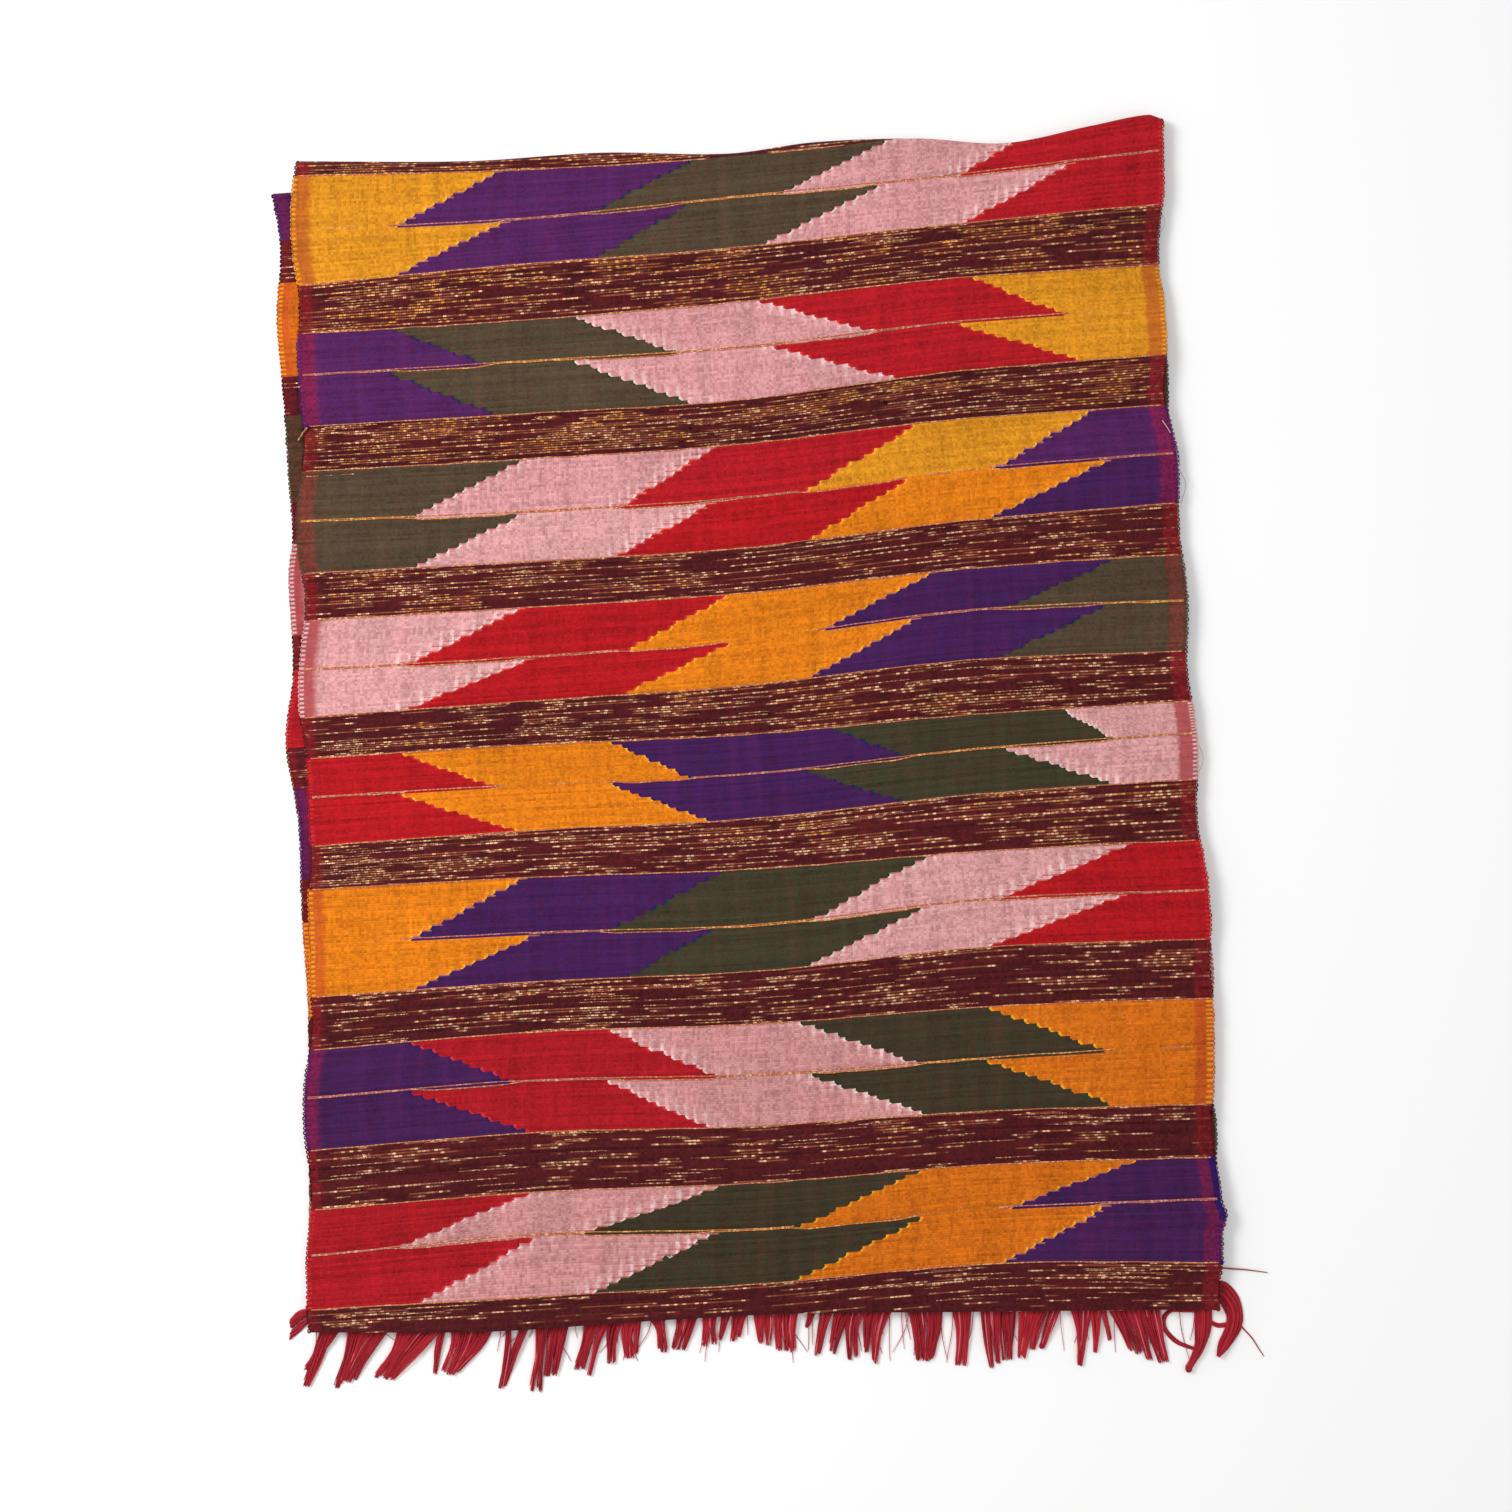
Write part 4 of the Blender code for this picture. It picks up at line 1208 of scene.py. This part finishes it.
# Fringe
# The red cotton warp threads run on past the last pick at both cut ends. They hang together in loose
# uneven bunches, unknotted, and the two fringes lie on each other at the near end.
TASSELS = (
    # root x from, to, middle x from, to, tip x from, to, tip y
    (-190, -185, -195, -189, -200, -195, -294), (-185, -180, -192, -187, -199, -197, -288),
    (-179, -169, -181, -174, -185, -181, -294), (-169, -158, -177, -167, -181, -175, -292),
    (-156, -147, -159, -155, -167, -164, -290), (-148, -134, -157, -145, -163, -158, -290),
    (-137, -134, -140, -137, -141, -139, -290), (-133, -125, -133, -128, -137, -132, -289),
    (-125, -112, -128, -118, -133, -129, -289), (-108, -106, -109, -106, -112, -109, -295),
    (-100, -96, -106, -102, -110, -108, -294), (-95, -88, -95, -91, -98, -92, -297),
    (-88, -79, -90, -82, -92, -85, -290), (-73, -67, -74, -70, -78, -74, -286),
    (-68, -59, -72, -66, -74, -70, -288), (-61, -54, -63, -58, -63, -59, -285),
    (-54, -48, -57, -51, -56, -50, -281), (-52, -47, -51, -48, -51, -49, -281),
    (-48, -37, -41, -37, -40, -36, -279), (-31, -20, -32, -24, -34, -28, -279),
    (-20, -12, -20, -14, -21, -13, -276), (-11, -6, -12, -8, -14, -11, -274),
    (-6, 3, -7, -1, -8, -2, -274), (3, 12, 3, 12, 4, 11, -276), (12, 24, 12, 22, 12, 23, -279),
    (29, 32, 27, 31, 26, 29, -269), (34, 41, 32, 36, 30, 33, -281), (41, 48, 38, 44, 37, 40, -280),
    (46, 55, 44, 50, 45, 50, -283), (53, 58, 52, 56, 52, 55, -280), (58, 68, 56, 61, 56, 58, -284),
    (71, 88, 74, 87, 75, 84, -282), (91, 101, 94, 100, 93, 99, -284),
    (105, 113, 106, 113, 108, 114, -285), (113, 121, 113, 120, 114, 119, -284),
    (122, 133, 122, 128, 122, 125, -282), (133, 143, 128, 139, 127, 134, -278),
    (144, 157, 148, 153, 148, 151, -285), (154, 160, 155, 159, 155, 157, -278),
    (158, 161, 160, 162, 162, 164, -273), (160, 171, 166, 176, 171, 180, -280),
    (171, 185, 175, 187, 180, 189, -284),
)

# Locks that lie across the others, as the two lines that bound each one, from root to tip. Where one
# line is given, it is a single thread.
CROSS_LOCKS = (
    # threads, height, points of one side, points of the other
    (34, 1.6, ((-190, -258), (-197.5, -259.5), (-202, -261), (-205.7, -264.5)),
     ((-190, -263), (-197, -262.5), (-201, -265.5), (-205, -268.5))),
    (30, 1.2, ((-190, -261), (-197, -263), (-201, -266), (-205, -269)),
     ((-190, -264), (-196.8, -265.8), (-201, -269.5), (-205.7, -273.5))),
    (9, 1.0, ((206, -259), (196.4, -259.6), (190.6, -259.8), (186.7, -263.8), (187.6, -269.2),
              (193, -275), (202, -278)),
     ((206, -261), (196.4, -261), (191.2, -261), (188.2, -264), (189.1, -268.6), (194, -273.8),
      (202, -276.8))),
    (70, 2.4, ((201, -255), (201.4, -261), (201.4, -270.4), (200.8, -277.5), (197, -285.2)),
     ((209, -255), (209, -261), (208.2, -269.4), (204.9, -277.5), (199.2, -285.7))),
    (95, 2.6, ((207, -250), (214.5, -247.5), (221, -254), (222.7, -262.2), (221.3, -269.4),
               (216.4, -276.5), (211.8, -280.8)),
     ((206, -254), (211, -255), (214.6, -259.5), (215.8, -263), (214.5, -269), (211.7, -275.5),
      (211.0, -280.1))),
    (12, 1.2, ((204, -262), (208.3, -264.4), (212, -265.8), (216, -265.2)),
     ((204, -264), (208.3, -266.2), (212, -267.8), (216, -267.4))),
    (1, 1.0, ((205, -240), (216.7, -241.8), (225, -242.3), (234.5, -243.6))),
    (1, 0.8, ((220, -262), (222.2, -267.3), (227.4, -273), (232, -280.4))),
)
KNOB = (198.0, -286.0, 1.3)
STRAYS = 60
PALE_STRANDS = 0.05
WARP_RADIUS = 0.33
THREADS_PER_MM = 4.6
LOCK_WIDTH = 4.2
THREAD_POINTS = 10
HEM_LEVELS = (0.5, 2.1)
DARK_CRIMSON = (122, 6, 20)
LIGHT_CRIMSON = (198, 34, 52)
PALE_STRAND = (226, 140, 148)
# Painted highlight colour of the fringe threads.
PAINTED_HIGHLIGHT_RED = (214, 62, 76)

random.seed(31)
warp_ends = []


def warp_end(places, pale, slimness=1.0):
    """One loose warp thread through its places (x, y, z), from the hem to its tip, a little wavy."""
    keys = range(len(places))
    phase = random.uniform(0, 6.28)
    points = THREAD_POINTS if len(places) < 4 else 3 * len(places)
    line = []
    for step in range(points):
        t = step / (points - 1)
        key = t * (len(places) - 1)
        x, y, z = (smooth_read(keys, [place[k] for place in places], key) for k in range(3))
        x += 0.30 * t * math.sin(phase + 2.6 * key)
        z += 0.14 * math.sin(phase + 4.3 * key)
        line.append(((x, y, max(z, WARP_RADIUS + 0.02)), {
            "thickness": slimness * (1.0 - 0.45 * t * t * t), "pale": pale,
        }))
    warp_ends.append(line)


def hem_y(x):
    share = (x - selvedge_x(9, 0)) / (selvedge_x(9, 1) - selvedge_x(9, 0))
    return near_fold_y(min(max(share, 0.0), 1.0)) + NEAR_FLAP - 1.0


for root_from, root_to, middle_from, middle_to, tip_from, tip_to, tip_y in TASSELS:
    locks = max(1, round((root_to - root_from) / LOCK_WIDTH))
    lock_ends = [(random.gauss(0, 0.05), random.uniform(-1.0, 1.8), random.random()) for k in range(locks)]
    threads = max(14, round(THREADS_PER_MM * (root_to - root_from)))
    for number in range(threads):
        part = min(max((number + random.uniform(-0.6, 0.6)) / threads, 0.0), 0.999)
        lock = int(part * locks)
        middle = (lock + 0.5) / locks
        shift, short, lock_shade = lock_ends[lock]
        middle_part = middle + 0.85 * (part - middle) + random.gauss(0, 0.02)
        tip_part = middle + shift + 0.55 * (part - middle) + random.gauss(0, 0.05)
        root_x = root_from + (root_to - root_from) * part
        root_y = hem_y(root_x)
        end_y = tip_y + short + abs(random.gauss(0.0, 1.3))
        pale = 1.0
        if random.random() >= PALE_STRANDS:
            pale = min(0.85, 0.5 * lock_shade + 0.45 * random.random())
        warp_end((
            (root_x, root_y, random.choice(HEM_LEVELS) + random.uniform(-0.15, 0.15)),
            (middle_from + (middle_to - middle_from) * middle_part, (root_y + end_y) / 2,
             random.uniform(0.4, 2.0)),
            (tip_from + (tip_to - tip_from) * tip_part, end_y, random.uniform(0.3, 1.3)),
        ), pale)
for threads, height, *sides in CROSS_LOCKS:
    for number in range(threads):
        part = (number + 0.5) / threads if threads < 3 else random.random()
        rise = height * random.uniform(0.3, 1.0) * math.sqrt(max(0.1, math.sin(math.pi * part)))
        places = [(ax + part * (bx - ax), ay + part * (by - ay), max(0.35, rise))
                  for (ax, ay), (bx, by) in zip(sides[0], sides[-1])]
        pale = 0.3 if threads == 1 else min(0.85, random.random())
        warp_end(places, pale)
for turn in range(5):
    x, y, radius = KNOB
    height = 0.5 + 0.42 * turn
    ring = radius * math.sin(math.pi * (turn + 1) / 6)
    warp_end([(x + ring * math.cos(k * 1.26), y + ring * math.sin(k * 1.26), height) for k in range(6)], 0.3)
for number in range(STRAYS):
    root_x = random.uniform(-195, 205)
    lean = random.gauss(-1.0, 4.0)
    tip_y = random.uniform(-284, -270)
    root_y = hem_y(root_x)
    warp_end((
        (root_x, root_y, 1.2), (root_x + 0.2 * lean, (root_y + tip_y) / 2, 0.8), (root_x + lean, tip_y, 0.4),
    ), random.random(), 0.6)


def fringe_material():
    """Crimson cotton with single paler strands, a lumpy relief, and painted highlights in spots."""
    material, tree, shader = new_material("Crimson warp")
    strand, lump_and_highlight = attribute(tree, "pale"), object_noise(tree, 420.0, 2.0)
    colour = dye_mix(strand, linear(DARK_CRIMSON), linear(LIGHT_CRIMSON))
    colour = dye_mix(fade(strand, 0.88, 0.98) * 0.6, colour, linear(PALE_STRAND))
    # Painted highlights: spots of brighter red from the same noise that makes the lumpy relief.
    set_inputs(shader, {
        "Base Color": dye_mix(lump_and_highlight * 0.22, colour, linear(PAINTED_HIGHLIGHT_RED)),
        "Normal": raised(tree, lump_and_highlight, 0.5, 0.15),
        "Roughness": 0.75, "Specular IOR Level": 0.2, "Sheen Weight": 0.05,
    })
    return material


fringe = spin("warp_fringe", warp_ends, WARP_RADIUS, 4, fringe_material())
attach(fringe, "root")
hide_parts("fringe")


# Floor, light and camera
# A plain white floor, even soft light with a little more from the far left, and a camera that looks
# down at the shawl from the fringe end, six degrees off upright.
FLOOR_SIZE = 6.0
CAMERA_DISTANCE = 0.966
CAMERA_TILT = math.radians(6)
LOOK_AT = Vector((0.004, -0.010, 0.0057))

half_floor = FLOOR_SIZE / 2
floor_mesh = bpy.data.meshes.new("floor")
floor_mesh.from_pydata(
    [(x * half_floor, y * half_floor, 0) for x, y in ((-1, -1), (1, -1), (1, 1), (-1, 1))],
    [], [(0, 1, 2, 3)])
floor = new_object("floor", floor_mesh)
floor_material, floor_tree, floor_shader = new_material("White floor")
set_inputs(floor_shader, {"Base Color": (0.97, 0.97, 0.97, 1.0), "Roughness": 0.9, "Specular IOR Level": 0.1})
floor_mesh.materials.append(floor_material)

world = bpy.data.worlds.new("Soft studio")
world.use_nodes = True
set_inputs(world.node_tree.nodes["Background"], {"Color": (1.0, 1.0, 1.0, 1.0), "Strength": 0.65})
bpy.context.scene.world = world


def soft_light(name, place, size, power):
    """Square soft light that looks at the middle of the shawl."""
    light = bpy.data.lights.new(name, "AREA")
    light.shape = "SQUARE"
    light.size = size
    light.energy = power
    lamp = new_object(name, light)
    lamp.location = place
    lamp.rotation_euler = (LOOK_AT - Vector(place)).to_track_quat("-Z", "Y").to_euler()


soft_light("Key light", (-0.95, 0.35, 0.95), 0.5, 12.4)
soft_light("Fill light", (1.2, -0.6, 1.6), 1.4, 3.4)

camera_data = bpy.data.cameras.new("Camera")
camera_data.lens = 50
camera_data.sensor_width = 36
camera = new_object("Camera", camera_data)
back_off = Vector((0.0, -math.sin(CAMERA_TILT), math.cos(CAMERA_TILT)))
camera.location = LOOK_AT + CAMERA_DISTANCE * back_off
camera.rotation_euler = (CAMERA_TILT, 0.0, 0.0)
bpy.context.scene.camera = camera
bpy.context.scene.view_settings.view_transform = "Standard"
